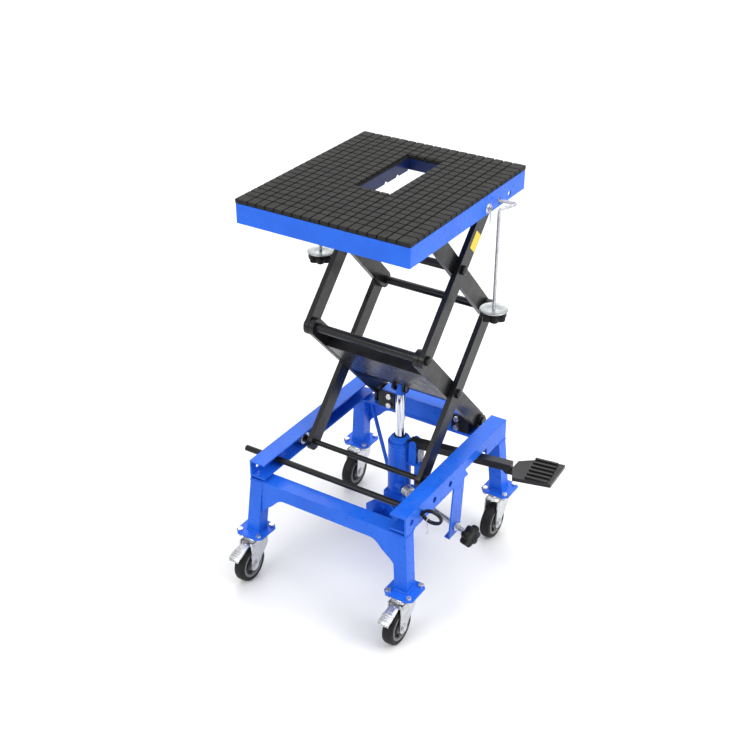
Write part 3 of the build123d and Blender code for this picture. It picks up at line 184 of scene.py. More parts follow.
def painted(name, deep, light, worn, dust, gloss, specular, peel, edge=0.0011, painted_shade=None):
    """Stoved enamel: orange peel, slow changes of shade, thin paint on edges, dust, fine scuffs.
    The last argument, a box (low, high, colour), is given that dark colour as painted shade."""
    edge_wear, scuff_tint, dust_tint = 0.7, 0.05, 0.14
    dust_rough, scuff_rough = 0.14, 0.04
    g = Graph(name)
    normal, edges = g.rounded(edge)
    colour = g.mix(g.span(g.noise(0.09, 4.0), 0.3, 0.7), deep, light)
    rubbed = g.times(edges, g.span(g.noise(0.012, 5.0, 0.7), 0.47, 0.66))
    colour = g.mix(g.times(rubbed, edge_wear), colour, worn)
    scuffs = g.span(g.noise(0.006, 6.0, 0.75, (1.0, 0.13, 1.0)), 0.66, 0.74)
    colour = g.mix(g.times(scuffs, scuff_tint), colour, worn)
    dusty = g.times(g.upward(), g.span(g.noise(0.035, 5.0, 0.65), 0.42, 0.85))
    colour = g.mix(g.times(dusty, dust_tint), colour, dust)
    rough = g.plus(g.span(g.noise(0.02, 4.0), 0.3, 0.7, gloss - 0.04, gloss + 0.06),
                   g.plus(g.times(dusty, dust_rough), g.times(scuffs, scuff_rough)))
    # Painted shade: inside the box the colour turns to a dark colour that stands in for shadow
    if painted_shade:
        low, high, shade_colour = painted_shade
        colour = g.mix(g.inside(low, high), colour, shade_colour)
    skin = g.plus(g.noise(0.0016, 2.0), g.times(g.noise(0.006, 2.0), 0.9))
    return g.finish(colour, rough, g.bump(skin, peel, 0.35, normal), 0.0, specular)


def plated(name, bright, dull, gloss, thread=None, edge=0.0006):
    """Zinc plate: soft spangle, drawn streaks, tarnish in patches, painted shade in a thread's roots. thread
    is (axis, pitch).
    """
    tarnished, polished, thread_root_shade = (0.45, 0.42, 0.37), (0.9, 0.9, 0.9), (0.09, 0.085, 0.08)
    g = Graph(name)
    normal, edges = g.rounded(edge)
    colour = g.mix(g.span(g.noise(0.007, 4.0, 0.6), 0.35, 0.7), bright, dull)
    tarnish = g.span(g.noise(0.018, 5.0, 0.65), 0.58, 0.85)
    colour = g.mix(g.times(tarnish, 0.3), colour, tarnished)
    colour = g.mix(g.times(edges, 0.5), colour, polished)
    streak = g.noise(0.0012, 3.0, 0.6, (1.0, 1.0, 0.12))
    rough = g.plus(g.span(streak, 0.3, 0.7, gloss - 0.06, gloss + 0.08), g.times(tarnish, 0.16))
    height = g.times(streak, 0.35)
    distance = 0.00006
    if thread:
        axis, pitch = thread
        wave_per_pitch = 0.314          # the wave node's scale for one wave in a metre
        wave = g.add("ShaderNodeTexWave", wave_type="BANDS", bands_direction=axis, wave_profile="SIN")
        g.link(g.where, wave.inputs["Vector"])
        wave.inputs["Scale"].default_value = wave_per_pitch / pitch
        height = g.plus(wave.outputs["Fac"], height)
        # Painted shade: the thread's roots are darkened
        colour = g.mix(g.span(wave.outputs["Fac"], 0.5, 0.0, 0.0, 0.75), colour, thread_root_shade)
        distance = 0.0005
    return g.finish(colour, rough, g.bump(height, distance, 0.8, normal), 0.93, 0.5)


def chromed(name):
    """Hard chrome: near mirror, faint lapping rings and a thin film of oil."""
    g = Graph(name)
    normal, _ = g.rounded(0.0005)
    film = g.span(g.noise(0.03, 4.0, 0.6, (1.0, 1.0, 0.4)), 0.45, 0.8)
    colour = g.mix(g.times(film, 0.35), (0.86, 0.87, 0.88), (0.62, 0.60, 0.55))
    lapping = g.noise(0.0007, 3.0, 0.6, (0.05, 0.05, 1.0))
    rough = g.plus(g.times(film, 0.12), g.span(lapping, 0.3, 0.8, 0.05, 0.11))
    return g.finish(colour, rough, g.bump(lapping, 0.00002, 0.4, normal), 1.0, 0.5)


def rubber(name, base, dusty, gloss, grain, dust_amount, edge=0.0008):
    """Moulded rubber: pebbled skin, bloom in patches, dust on what faces up and on the edges."""
    bloom_tint, edge_dust, dust_rough = 1.35, 0.8, 0.3
    g = Graph(name)
    normal, edges = g.rounded(edge)
    bloom = g.span(g.noise(0.045, 5.0, 0.6), 0.35, 0.75)
    colour = g.mix(g.times(bloom, 0.5), base, tuple(bloom_tint * c for c in base))
    dust = g.times(g.upward(0.3, 0.9), g.span(g.noise(0.016, 6.0, 0.7), 0.4, 0.75))
    dust = g.times(g.plus(dust, g.times(edges, edge_dust)), dust_amount)
    colour = g.mix(dust, colour, dusty)
    rough = g.plus(g.span(g.noise(0.008, 3.0), 0.3, 0.7, gloss - 0.07, gloss + 0.06),
                   g.times(dust, dust_rough))
    skin = g.plus(g.noise(grain, 2.0), g.times(g.cells(grain * 2.2), 0.6))
    return g.finish(colour, rough, g.bump(skin, 0.00025, 0.6, normal), 0.0, 0.2)


# Deep, light, worn and dusty colour, then gloss, specular level and depth of the orange peel
BLUE_COAT = ((0.009, 0.108, 0.63), (0.013, 0.130, 0.72), (0.10, 0.30, 0.82), (0.20, 0.30, 0.52),
             0.30, 0.24, 0.00004)
BLACK_COAT = ((0.005, 0.005, 0.006), (0.009, 0.009, 0.010), (0.10, 0.10, 0.105), (0.07, 0.068, 0.065),
              0.30, 0.31, 0.00005)
YELLOW_FILM = ((0.78, 0.52, 0.015), (0.84, 0.58, 0.02), (0.9, 0.8, 0.4), (0.6, 0.55, 0.4),
               0.33, 0.3, 0.00002)
THREADED = ((0.70, 0.71, 0.73), (0.52, 0.53, 0.55), 0.30)
# Painted shade: the deck window's inner faces are given a dark navy that stands in for their shadow
RIM_REACH = 1.2 * MM
SHADE_NAVY = (0.004, 0.012, 0.07)
WINDOW_SHADE = ((-WINDOW_HALF - RIM_REACH, WINDOW_FRONT - RIM_REACH, 0.70),
                (WINDOW_HALF + RIM_REACH, WINDOW_BACK + RIM_REACH, 0.80), SHADE_NAVY)

BLUE = painted("blue_enamel", *BLUE_COAT)
BLACK = painted("black_powder_coat", *BLACK_COAT)
ZINC = plated("zinc_plate_finish", (0.66, 0.67, 0.68), (0.54, 0.55, 0.57), 0.27)
WASHER = plated("washer_finish", (0.44, 0.46, 0.46), (0.35, 0.37, 0.38), 0.34)
STEEL_DARK = plated("dark_steel_finish", (0.24, 0.24, 0.25), (0.15, 0.15, 0.16), 0.38)
THREAD_Z = plated("threaded_rod_upright", *THREADED, ("Z", 0.0012))
THREAD_X = plated("threaded_rod_level", *THREADED, ("X", 0.0016))
CHROME = chromed("hard_chrome")
MAT = rubber("mat_rubber_skin", (0.013, 0.0127, 0.0123), (0.10, 0.096, 0.09), 0.60, 0.0011, 0.28)
# The base sheet shows mostly at the bottom of the grooves; its darker rubber is painted shade
MAT_GROOVE_SHADE = rubber("mat_rubber_base_painted_shade", (0.006, 0.006, 0.006), (0.05, 0.05, 0.048), 0.75, 0.0011, 0.2)
TYRE = rubber("tyre_rubber", (0.010, 0.010, 0.010), (0.11, 0.105, 0.10), 0.55, 0.0009, 0.25)
PLASTIC = rubber("moulded_black_plastic", (0.004, 0.004, 0.0045), (0.05, 0.05, 0.05), 0.38, 0.0006, 0.06)
HUB = rubber("wheel_hub_plastic", (0.030, 0.030, 0.034), (0.16, 0.16, 0.155), 0.42, 0.0008, 0.25)
GREY = rubber("grey_rim_plastic", (0.17, 0.17, 0.175), (0.3, 0.3, 0.29), 0.40, 0.0008, 0.2)
LABEL = painted("plain_yellow_film", *YELLOW_FILM, 0.0002)
# The deck's enamel, with painted shade on the window's inner faces
TRAY = painted("deck_enamel_painted_shade", *BLUE_COAT, painted_shade=WINDOW_SHADE)

BY_SLOT = {"blue_paint": BLUE, "black_paint": BLACK, "zinc_plate": ZINC, "chrome": CHROME,
           "mat_rubber": MAT, "wheel_rubber": TYRE, "black_plastic": PLASTIC}
BY_NODE = {"release_rod": THREAD_X, "hook_rod_left": THREAD_Z, "hook_rod_right": THREAD_Z,
           "safety_bar": BLACK, "deck_tray": TRAY}
for node_name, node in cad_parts.items():
    for slot in node.material_slots:
        slot.material = BY_NODE.get(node_name) or BY_SLOT[slot.material.name.split(".")[0]]


# ================= Mesh tools =================
def piece(name, bm, materials, body, sharp=35.0, replaces=()):
    """Makes the mesh an object that rides on a body."""
    bmesh.ops.recalc_face_normals(bm, faces=bm.faces)
    mesh = bpy.data.meshes.new(name)
    bm.to_mesh(mesh)
    bm.free()
    for material in materials:
        mesh.materials.append(material)
    mesh.shade_smooth()
    mesh.set_sharp_from_angle(angle=math.radians(sharp))
    made = bpy.data.objects.new(name, mesh)
    scene.collection.objects.link(made)
    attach(made, body)
    if replaces:
        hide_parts(*replaces)
    return made


def bevelled(made, width, segments=2, angle=40.0):
    modifier = made.modifiers.new("edges", "BEVEL")
    modifier.width = width
    modifier.segments = segments
    modifier.limit_method = "ANGLE"
    modifier.angle_limit = math.radians(angle)


def lobed(turn, lobes, depth):
    """Share of the radius left at an angle, for a knob's rounded lobes."""
    fullness = (0.5 + 0.5 * math.cos(lobes * turn)) ** 0.75
    return 1.0 - depth * (1.0 - fullness)


def lathe(bm, profile, centre, direction, segments=56, finishes=None, closed=False, lobes=0, lobe_depth=0.0):
    """Revolves (radius, distance along the axis) points, in mm. finishes has a slot for each band."""
    along = Vector(direction).normalized()
    first = along.orthogonal().normalized()
    second = along.cross(first)
    centre = Vector(centre)
    rings = []
    for radius, height in profile:
        base = centre + along * height * MM
        if radius < 1e-6:
            rings.append([bm.verts.new(base)])
            continue
        ring = []
        for step in range(segments):
            turn = 2 * math.pi * step / segments
            swell = lobed(turn, lobes, lobe_depth) if lobes else 1.0
            out = first * math.cos(turn) + second * math.sin(turn)
            ring.append(bm.verts.new(base + out * radius * swell * MM))
        rings.append(ring)
    pairs = list(zip(rings, rings[1:])) + ([(rings[-1], rings[0])] if closed else [])
    for band, (low, high) in enumerate(pairs):
        if len(low) == 1 and len(high) == 1:
            continue
        for step in range(segments):
            after = (step + 1) % segments
            if len(low) == 1:
                corners = (low[0], high[after], high[step])
            elif len(high) == 1:
                corners = (low[step], low[after], high[0])
            else:
                corners = (low[step], low[after], high[after], high[step])
            face = bm.faces.new(corners)
            face.material_index = finishes[band] if finishes else 0


def prism(bm, outline, depth):
    """Closed solid from a loop of points, moved by the vector depth."""
    low = [bm.verts.new(Vector(p)) for p in outline]
    high = [bm.verts.new(Vector(p) + Vector(depth)) for p in outline]
    bm.faces.new(low)
    bm.faces.new(list(reversed(high)))
    for index in range(len(low)):
        after = (index + 1) % len(low)
        bm.faces.new((low[index], high[index], high[after], low[after]))


def block(bm, low, high):
    x0, y0, z0 = low
    x1, y1, z1 = high
    prism(bm, [(x0, y0, z0), (x1, y0, z0), (x1, y1, z0), (x0, y1, z0)], (0, 0, z1 - z0))


def tube(bm, path, radius, segments=8, ripple=0.0, closed=False):
    """Round tube along points in metres. ripple makes the stacked crests of a weld."""
    points = [Vector(p) for p in path]
    count = len(points)
    rings = []
    side = None
    for index, point in enumerate(points):
        before = points[index - 1] if index or closed else point
        after = points[(index + 1) % count] if index < count - 1 or closed else point
        along = (after - before).normalized()
        if side is None:
            side = along.orthogonal().normalized()
        side = (side - along * side.dot(along)).normalized()
        other = along.cross(side)
        size = radius * MM * (1.0 + ripple * (1.0 if index % 2 else -1.0))
        rings.append([bm.verts.new(point + (side * math.cos(2 * math.pi * s / segments)
                                            + other * math.sin(2 * math.pi * s / segments)) * size)
                      for s in range(segments)])
    for index in range(count if closed else count - 1):
        low, high = rings[index], rings[(index + 1) % count]
        for step in range(segments):
            after = (step + 1) % segments
            bm.faces.new((low[step], low[after], high[after], high[step]))
    if not closed:
        bm.faces.new(rings[0])
        bm.faces.new(list(reversed(rings[-1])))


def run(start, end, pitch):
    """Points a pitch (mm) apart along a straight line."""
    start, end = Vector(start), Vector(end)
    count = max(2, round((end - start).length / (pitch * MM)))
    return [start.lerp(end, k / count) for k in range(count + 1)]


def shifted(at, x, y, z):
    """The point x, y, z millimetres from another."""
    return Vector((at.x + x * MM, at.y + y * MM, at.z + z * MM))


# ================= Rubber mat =================
COLUMNS, ROWS = 16, 20
EDGE_COLUMN, EDGE_ROW = 25.7 * MM, 25.0 * MM
GROOVE = 1.1 * MM                   # half of a groove's width
BASE_THICK = 2.6 * MM
BASE_INSET = 1.0 * MM
TILE_ROOT = 0.5 * MM                # how far up the base a tile starts
TILE_ROUND = 0.9 * MM
ON_EDGE = 1e-6


def spans(low, high, edge, count):
    """Neighbouring pairs of groove lines across the mat, with a wider span at each edge."""
    step = (high - low - 2 * edge) / count
    marks = [low] + [low + edge + k * step for k in range(count + 1)] + [high]
    return list(zip(marks, marks[1:]))


mat_low, mat_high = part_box("rubber_mat")
base_x = (mat_low.x + BASE_INSET, mat_high.x - BASE_INSET)
base_y = (mat_low.y + BASE_INSET, mat_high.y - BASE_INSET)
mesh = bmesh.new()
for x0, x1, y0, y1 in (
    (base_x[0], base_x[1], base_y[0], WINDOW_FRONT),
    (base_x[0], base_x[1], WINDOW_BACK, base_y[1]),
    (base_x[0], -WINDOW_HALF, WINDOW_FRONT, WINDOW_BACK),
    (WINDOW_HALF, base_x[1], WINDOW_FRONT, WINDOW_BACK),
):
    block(mesh, (x0, y0, mat_low.z), (x1, y1, mat_low.z + BASE_THICK))
# The base sheet's darker rubber is painted shade in the grooves
piece("mat_base_layer", mesh, [MAT_GROOVE_SHADE], "deck")

mesh = bmesh.new()
for x0, x1 in spans(mat_low.x, mat_high.x, EDGE_COLUMN, COLUMNS):
    left = x0 + (GROOVE if x0 > mat_low.x + ON_EDGE else 0)
    right = x1 - (GROOVE if x1 < mat_high.x - ON_EDGE else 0)
    for y0, y1 in spans(mat_low.y, mat_high.y, EDGE_ROW, ROWS):
        front = y0 + (GROOVE if y0 > mat_low.y + ON_EDGE else 0)
        back = y1 - (GROOVE if y1 < mat_high.y - ON_EDGE else 0)
        if abs(x0 + x1) / 2 < WINDOW_HALF:
            if front > WINDOW_FRONT and back < WINDOW_BACK:
                continue
            if front < WINDOW_FRONT < back:
                back = WINDOW_FRONT
            if front < WINDOW_BACK < back:
                front = WINDOW_BACK
        block(mesh, (left, front, mat_low.z + TILE_ROOT), (right, back, mat_high.z))
bevelled(piece("mat_tiles", mesh, [MAT], "deck", replaces=["rubber_mat"]), TILE_ROUND)


# ================= Casters =================
WHEEL_STEPS = 72
TYRE_SLOT, HUB_SLOT, RIM_SLOT, STEEL_SLOT = range(4)
# Radius, distance from the wheel's middle and finish, from the bearing out to the tread
WHEEL_HALF = [(9.0, 12.6, STEEL_SLOT), (9.0, 8.6, STEEL_SLOT), (12.6, 8.2, STEEL_SLOT),
              (13.0, 9.0, HUB_SLOT), (15.6, 9.0, HUB_SLOT), (16.2, 5.4, HUB_SLOT),
              (22.6, 4.8, RIM_SLOT), (23.4, 9.6, RIM_SLOT), (24.2, 10.4, RIM_SLOT), (27.6, 10.4, RIM_SLOT),
              (28.2, 9.7, TYRE_SLOT), (29.0, 10.7, TYRE_SLOT), (33.0, 11.0, TYRE_SLOT),
              (35.6, 9.9, TYRE_SLOT), (36.9, 7.6, TYRE_SLOT), (37.4, 5.0, TYRE_SLOT), (37.5, 1.6, TYRE_SLOT)]
BORE_RADIUS, BORE_HALF = 4.05, 12.6
SPOKES, SPOKE_STEP, SPOKE_FIRST = 6, 60, 15     # count, then degrees
SPOKE_WEB = 4.6                     # the web's face, from the wheel's middle
SPOKE_START, SPOKE_LENGTH, SPOKE_HALF, SPOKE_DEPTH = 15.0, 8.2, 1.1, 3.4
FACES_PER_SPOKE = 6
KINGPIN_Y = 0.191
RACEWAY = [(20.9, -9.5), (22.2, -9.3), (23.0, -8.0), (22.4, -6.6), (21.2, -5.6), (21.2, -4.6),
           (23.4, -4.2), (24.6, -3.0), (24.6, -1.6), (23.2, -0.3), (20.9, -0.1)]
FORK_FACE = 15.6                    # outer face of a fork's cheek, from its middle
AXLE_WASHER = [(4.2, 0.1), (8.6, 0.1), (9.0, 0.5), (8.6, 1.0), (4.2, 1.0)]
AXLE_END = [(0, 3.2), (2.6, 3.2), (3.5, 2.6), (3.5, 1.0)]


def wheel_section():
    """Section of a wheel from its left face to its right, with a finish for each band."""
    left = [(radius, -height) for radius, height, finish in WHEEL_HALF]
    right = [(radius, height) for radius, height, finish in reversed(WHEEL_HALF)]
    bands = [finish for radius, height, finish in WHEEL_HALF[:-1]]
    bore = [(BORE_RADIUS, BORE_HALF), (BORE_RADIUS, -BORE_HALF)]
    return left + right + bore, bands + [TYRE_SLOT] + bands[::-1] + [STEEL_SLOT] * 3


def add_spokes(bm, hub):
    for flank in (-1, 1):
        for spoke in range(SPOKES):
            turn = math.radians(SPOKE_STEP * spoke + SPOKE_FIRST)
            out = Vector((0, math.cos(turn), math.sin(turn)))
            across = Vector((0, -math.sin(turn), math.cos(turn))) * SPOKE_HALF * MM
            start = hub + Vector((flank * SPOKE_WEB * MM, 0, 0)) + out * SPOKE_START * MM
            end = start + out * SPOKE_LENGTH * MM
            prism(bm, [start - across, start + across, end + across, end - across],
                  (flank * SPOKE_DEPTH * MM, 0, 0))
    for face in bm.faces[-2 * SPOKES * FACES_PER_SPOKE:]:
        face.material_index = HUB_SLOT


for end, end_name in ENDS:
    for side, side_name in SIDES:
        label = f"{end_name}_{side_name}"
        low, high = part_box(f"wheel_{label}")
        hub = (low + high) / 2
        section, bands = wheel_section()
        mesh = bmesh.new()
        lathe(mesh, section, hub, (1, 0, 0), WHEEL_STEPS, bands, closed=True)
        add_spokes(mesh, hub)
        piece(f"castor_wheel_{label}", mesh, [TYRE, HUB, GREY, STEEL_DARK], f"caster_wheel_{label}",
              replaces=[f"wheel_{label}"])

        low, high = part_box(f"caster_fork_{label}")
        mesh = bmesh.new()
        lathe(mesh, RACEWAY, ((low.x + high.x) / 2, end * KINGPIN_Y, high.z), (0, 0, 1), 64, closed=True)
        piece(f"swivel_raceway_{label}", mesh, [ZINC], f"caster_{label}")

        mesh = bmesh.new()
        for flank in (-1, 1):
            axle = Vector((hub.x + flank * FORK_FACE * MM, hub.y, hub.z))
            lathe(mesh, AXLE_WASHER, axle, (flank, 0, 0), 32, closed=True)
            lathe(mesh, AXLE_END, axle, (flank, 0, 0), 24)
        piece(f"axle_washers_{label}", mesh, [ZINC], f"caster_{label}")


# Toe brakes: a folded sheet with a curled, ribbed end on a hinge tube. Distances are from the hinge.
HINGE_INSET = 4.5
SHEET_TOP = [(1.5, 4.3), (-6, 4.2), (-14, 2.4), (-24, -0.4), (-34, -3.6), (-42, -6.4), (-45.6, -9.4),
             (-46.6, -13.2)]
SHEET_LIP = [(-43.8, -10.4), (-44.9, -13.6)]
SHEET_HALF = [9.5, 9.8, 10.6, 11.4, 12.0, 12.0, 11.6, 10.8]
SHEET_CORNER, SHEET_FLANGE = 1.6, 1.2
RIBS_AT = ((-27.5, -1.2), (-32.5, -2.8), (-37.5, -4.4), (-42.3, -6.2))
RIB_ARCH = ((-11.6, -0.9), (-10.0, 0.1), (0, 0.3), (10.0, 0.1), (11.6, -0.9))
RAISED_PLATE = [(-5.2, -10.5, 3.0), (5.2, -10.5, 3.0), (5.2, -21.5, 0.2), (-5.2, -21.5, 0.2)]
RAISED_BY = 1.2
RIVET = [(3.0, 0), (2.9, 0.7), (2.0, 1.3), (0, 1.5)]
RIVET_AT = (0, -5.6, 3.0)
HINGE_TUBE = [(2.6, -12), (4.3, -12), (4.5, -11.7), (4.5, 11.7), (4.3, 12), (2.6, 12)]
HINGE_PIN = [(0, -17), (2.2, -17), (2.5, -16.7), (2.5, 16.7), (2.2, 17), (0, 17)]


def folded_sheet(bm, hinge):
    """The brake's pressed sheet, as six-sided cross sections joined in a row."""
    under = [(y * 0.985 + 0.6, z - 2.0) for y, z in SHEET_TOP[:-len(SHEET_LIP)]] + SHEET_LIP
    rows = []
    for (y, z), (low_y, low_z), half in zip(SHEET_TOP, under, SHEET_HALF):
        section = ((-half, y, z - SHEET_FLANGE), (-half + SHEET_CORNER, y, z),
                   (half - SHEET_CORNER, y, z), (half, y, z - SHEET_FLANGE),
                   (half - SHEET_FLANGE, low_y, low_z), (-half + SHEET_FLANGE, low_y, low_z))
        rows.append([bm.verts.new(shifted(hinge, *corner)) for corner in section])
    for near, far in zip(rows, rows[1:]):
        for index in range(len(near)):
            after = (index + 1) % len(near)
            bm.faces.new((near[index], near[after], far[after], far[index]))
    bm.faces.new(rows[0])
    bm.faces.new(list(reversed(rows[-1])))


for side, side_name in SIDES:
    low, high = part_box(f"brake_pedal_{side_name}")
    hinge = Vector(((low.x + high.x) / 2, high.y - HINGE_INSET * MM, high.z - HINGE_INSET * MM))
    mesh = bmesh.new()
    folded_sheet(mesh, hinge)
    for y, z in RIBS_AT:
        tube(mesh, [shifted(hinge, x, y, z + bow) for x, bow in RIB_ARCH], 1.7, 10)
    prism(mesh, [shifted(hinge, *corner) for corner in RAISED_PLATE], (0, 0, RAISED_BY * MM))
    lathe(mesh, RIVET, shifted(hinge, *RIVET_AT), (0, 0, 1), 24)
    lathe(mesh, HINGE_TUBE, hinge, (1, 0, 0), 32, closed=True)
    lathe(mesh, HINGE_PIN, hinge, (1, 0, 0), 24)
    piece(f"toe_brake_{side_name}", mesh, [ZINC], f"brake_{side_name}", 40,
          replaces=[f"brake_pedal_{side_name}"])


# ================= Hooks =================
HOOK_X, HOOK_Y = 189.0 * MM, 77.0 * MM
KNOB_STEPS, KNOB_LOBES, LOBE_DEPTH = 112, 7, 0.2
STAR = [(3.2, 0.3), (5.0, 0.3), (14.0, 0.3), (21.5, 0.6), (24.0, 1.8), (25.0, 4.0), (25.0, 11.0),
        (24.2, 13.4), (22.0, 15.2), (17.0, 16.0), (11.0, 16.0), (10.0, 16.4), (10.0, 17.7), (9.0, 18.0),
        (3.2, 18.0)]
DISH = [(3.1, 0.0), (9.0, 0.0), (12.0, 0.5), (23.0, 0.7), (25.0, 0.2), (26.0, 0.6), (26.0, 1.7),
        (25.2, 2.5), (23.0, 2.1), (12.5, 1.7), (9.5, 2.3), (3.1, 2.3)]
for side, side_name in SIDES:
    low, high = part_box(f"hook_knob_{side_name}")
    mesh = bmesh.new()
    lathe(mesh, STAR, (side * HOOK_X, HOOK_Y, low.z), (0, 0, 1), KNOB_STEPS, closed=True,
          lobes=KNOB_LOBES, lobe_depth=LOBE_DEPTH)
    piece(f"star_knob_{side_name}", mesh, [PLASTIC], f"clamp_knob_{side_name}", 50,
          replaces=[f"hook_knob_{side_name}"])
    low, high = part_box(f"hook_washer_{side_name}")
    mesh = bmesh.new()
    lathe(mesh, DISH, (side * HOOK_X, HOOK_Y, low.z), (0, 0, 1), 80, closed=True)
    piece(f"dished_washer_{side_name}", mesh, [WASHER], f"clamp_washer_{side_name}",
          replaces=[f"hook_washer_{side_name}"])


# ================= Release line =================
SLOPE = -0.346                      # sideways run of the rod for each unit to the right
ALONG = Vector((1.0, SLOPE, 0.0)).normalized()
RELEASE_KNOB_AT = Vector((206.0 * MM, -16.2 * MM, 132.0 * MM))
RELEASE_KNOB = [(5.2, 0.0), (13.0, 0.0), (20.0, 0.4), (22.2, 1.6), (23.0, 4.0), (23.0, 11.2), (22.2, 13.6),
                (20.0, 15.3), (15.0, 16.0), (9.0, 15.6), (7.0, 14.8), (0.0, 14.6)]
LOCK_NUTS = ((174.6, 5.0), (203.0, 2.4))    # place along the width, and thickness
NUT_BORE, NUT_FACE, NUT_CORNER, NUT_CHAMFER = 5.02, 8.6, 9.4, 0.7


def on_release_rod(x):
    ahead = x * MM - RELEASE_KNOB_AT.x
    return RELEASE_KNOB_AT + Vector((ahead, SLOPE * ahead, 0))


mesh = bmesh.new()
lathe(mesh, RELEASE_KNOB, RELEASE_KNOB_AT, ALONG, KNOB_STEPS, lobes=KNOB_LOBES, lobe_depth=LOBE_DEPTH)
piece("release_star_knob", mesh, [PLASTIC], "release", 50, replaces=["release_knob"])
mesh = bmesh.new()
for x, thick in LOCK_NUTS:
    nut = [(NUT_BORE, 0), (NUT_FACE, 0), (NUT_CORNER, NUT_CHAMFER), (NUT_CORNER, thick - NUT_CHAMFER),
           (NUT_FACE, thick), (NUT_BORE, thick)]
    lathe(mesh, nut, on_release_rod(x), ALONG, 6, closed=True)
piece("release_lock_nuts", mesh, [ZINC], "release", 25)


# ================= Jack =================
GLAND = [(10.9, -0.2), (19.4, -0.2), (19.0, 1.0), (14.4, 4.4), (12.8, 5.0), (10.9, 5.0)]
WIPER = [(10.3, 4.9), (12.4, 4.9), (12.2, 5.8), (11.2, 6.3), (10.3, 6.0)]
BAND = [(23.9, -1.6), (24.5, -1.2), (24.7, 0), (24.5, 1.2), (23.9, 1.6)]
BANDS_BELOW_TOP = (9.0, 14.0)
NOSE = [(0, -18.0), (9.3, -18.0), (9.5, -17.6), (9.5, -13.4), (9.3, -12.6), (5.2, 5.2), (3.6, 8.2),
        (2.0, 8.9), (0, 9.0)]
NOSE_PIN = [(0, -17.0), (3.6, -17.0), (4.0, -16.6), (4.0, 16.6), (3.6, 17.0), (0, 17.0)]
PIN_WASHER = [(4.0, 14.6), (8.1, 14.6), (8.5, 15.0), (8.5, 16.2), (8.1, 16.6), (4.0, 16.6)]
PIN_BELOW_TIP = 9.0
SPRING_LOW, SPRING_HIGH, SPRING_RADIUS, SPRING_WIRE = 191.2, 223.2, 7.1, 1.15
COILS, STEPS_PER_COIL = 6.5, 20

cylinder_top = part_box("jack_cylinder")[1].z
ram_low, ram_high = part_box("jack_ram")
ram_axis = (ram_low + ram_high) / 2


def on_ram_axis(z):
    return (ram_axis.x, ram_axis.y, z)


mesh = bmesh.new()
lathe(mesh, GLAND, on_ram_axis(cylinder_top), (0, 0, 1), 64, closed=True)
piece("cylinder_gland", mesh, [BLUE], "jack_body")
mesh = bmesh.new()
lathe(mesh, WIPER, on_ram_axis(cylinder_top), (0, 0, 1), 56, closed=True)
piece("ram_wiper_seal", mesh, [PLASTIC], "jack_body")
mesh = bmesh.new()
for depth in BANDS_BELOW_TOP:
    lathe(mesh, BAND, on_ram_axis(cylinder_top - depth * MM), (0, 0, 1), 64, closed=True)
piece("cylinder_bands", mesh, [BLUE], "jack_body")

pin = on_ram_axis(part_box("ram_head")[1].z - PIN_BELOW_TIP * MM)
mesh = bmesh.new()
lathe(mesh, NOSE, pin, (0, 0, 1), 48, [0] * (len(NOSE) - 1))
lathe(mesh, NOSE_PIN, pin, (1, 0, 0), 32, [1] * (len(NOSE_PIN) - 1))
for flank in (-1, 1):
    lathe(mesh, PIN_WASHER, pin, (flank, 0, 0), 40, [1] * len(PIN_WASHER), closed=True)
piece("ram_nose", mesh, [BLUE, STEEL_DARK], "ram", replaces=["ram_head"])

plunger_low, plunger_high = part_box("pump_plunger")
plunger = (plunger_low + plunger_high) / 2
coil = []
for step in range(int(COILS * STEPS_PER_COIL) + 1):
    turn = 2 * math.pi * step / STEPS_PER_COIL
    height = SPRING_LOW + (SPRING_HIGH - SPRING_LOW) * step / (COILS * STEPS_PER_COIL)
    coil.append((plunger.x + SPRING_RADIUS * MM * math.cos(turn),
                 plunger.y + SPRING_RADIUS * MM * math.sin(turn), height * MM))
mesh = bmesh.new()
tube(mesh, coil, SPRING_WIRE, 8)
spring = piece("pump_return_spring", mesh, [ZINC], "jack_body", 60)
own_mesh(spring)


# ================= Deck =================
EYELET_AT = (172.5 * MM, 67.0 * MM, 768.0 * MM)
EYELET = [(5.6, 0.1), (9.4, 0.1), (9.6, 0.8), (8.0, 1.6), (7.4, 3.0), (5.6, 3.2)]
CLIP_X = 177.2 * MM
CLIP_WIRE = 0.8
# The clip's two legs, as distances behind and above the eyelet
CLIP_LEGS = (
    [(0.0, 4.8), (3.2, 3.6), (4.8, 0.0), (3.2, -3.6), (1.4, -8.0), (2.6, -14.0), (0.8, -20.0),
     (2.8, -24.0), (6.0, -26.5)],
    [(0.0, 4.8), (-3.2, 3.6), (-4.8, 0.0), (-3.2, -3.6), (-1.2, -8.0), (-1.6, -16.0), (-1.2, -24.0),
     (-1.4, -30.0)],
)
for side, side_name in SIDES:
    x, y, z = EYELET_AT
    mesh = bmesh.new()
    lathe(mesh, EYELET, (side * x, y, z), (side, 0, 0), 40, closed=True)
    piece(f"keeper_eyelet_{side_name}", mesh, [ZINC], "deck", 25)
    mesh = bmesh.new()
    for leg in CLIP_LEGS:
        tube(mesh, [(side * CLIP_X, y + behind * MM, z + above * MM) for behind, above in leg], CLIP_WIRE, 8)
    piece(f"keeper_clip_{side_name}", mesh, [ZINC], "deck", 60)


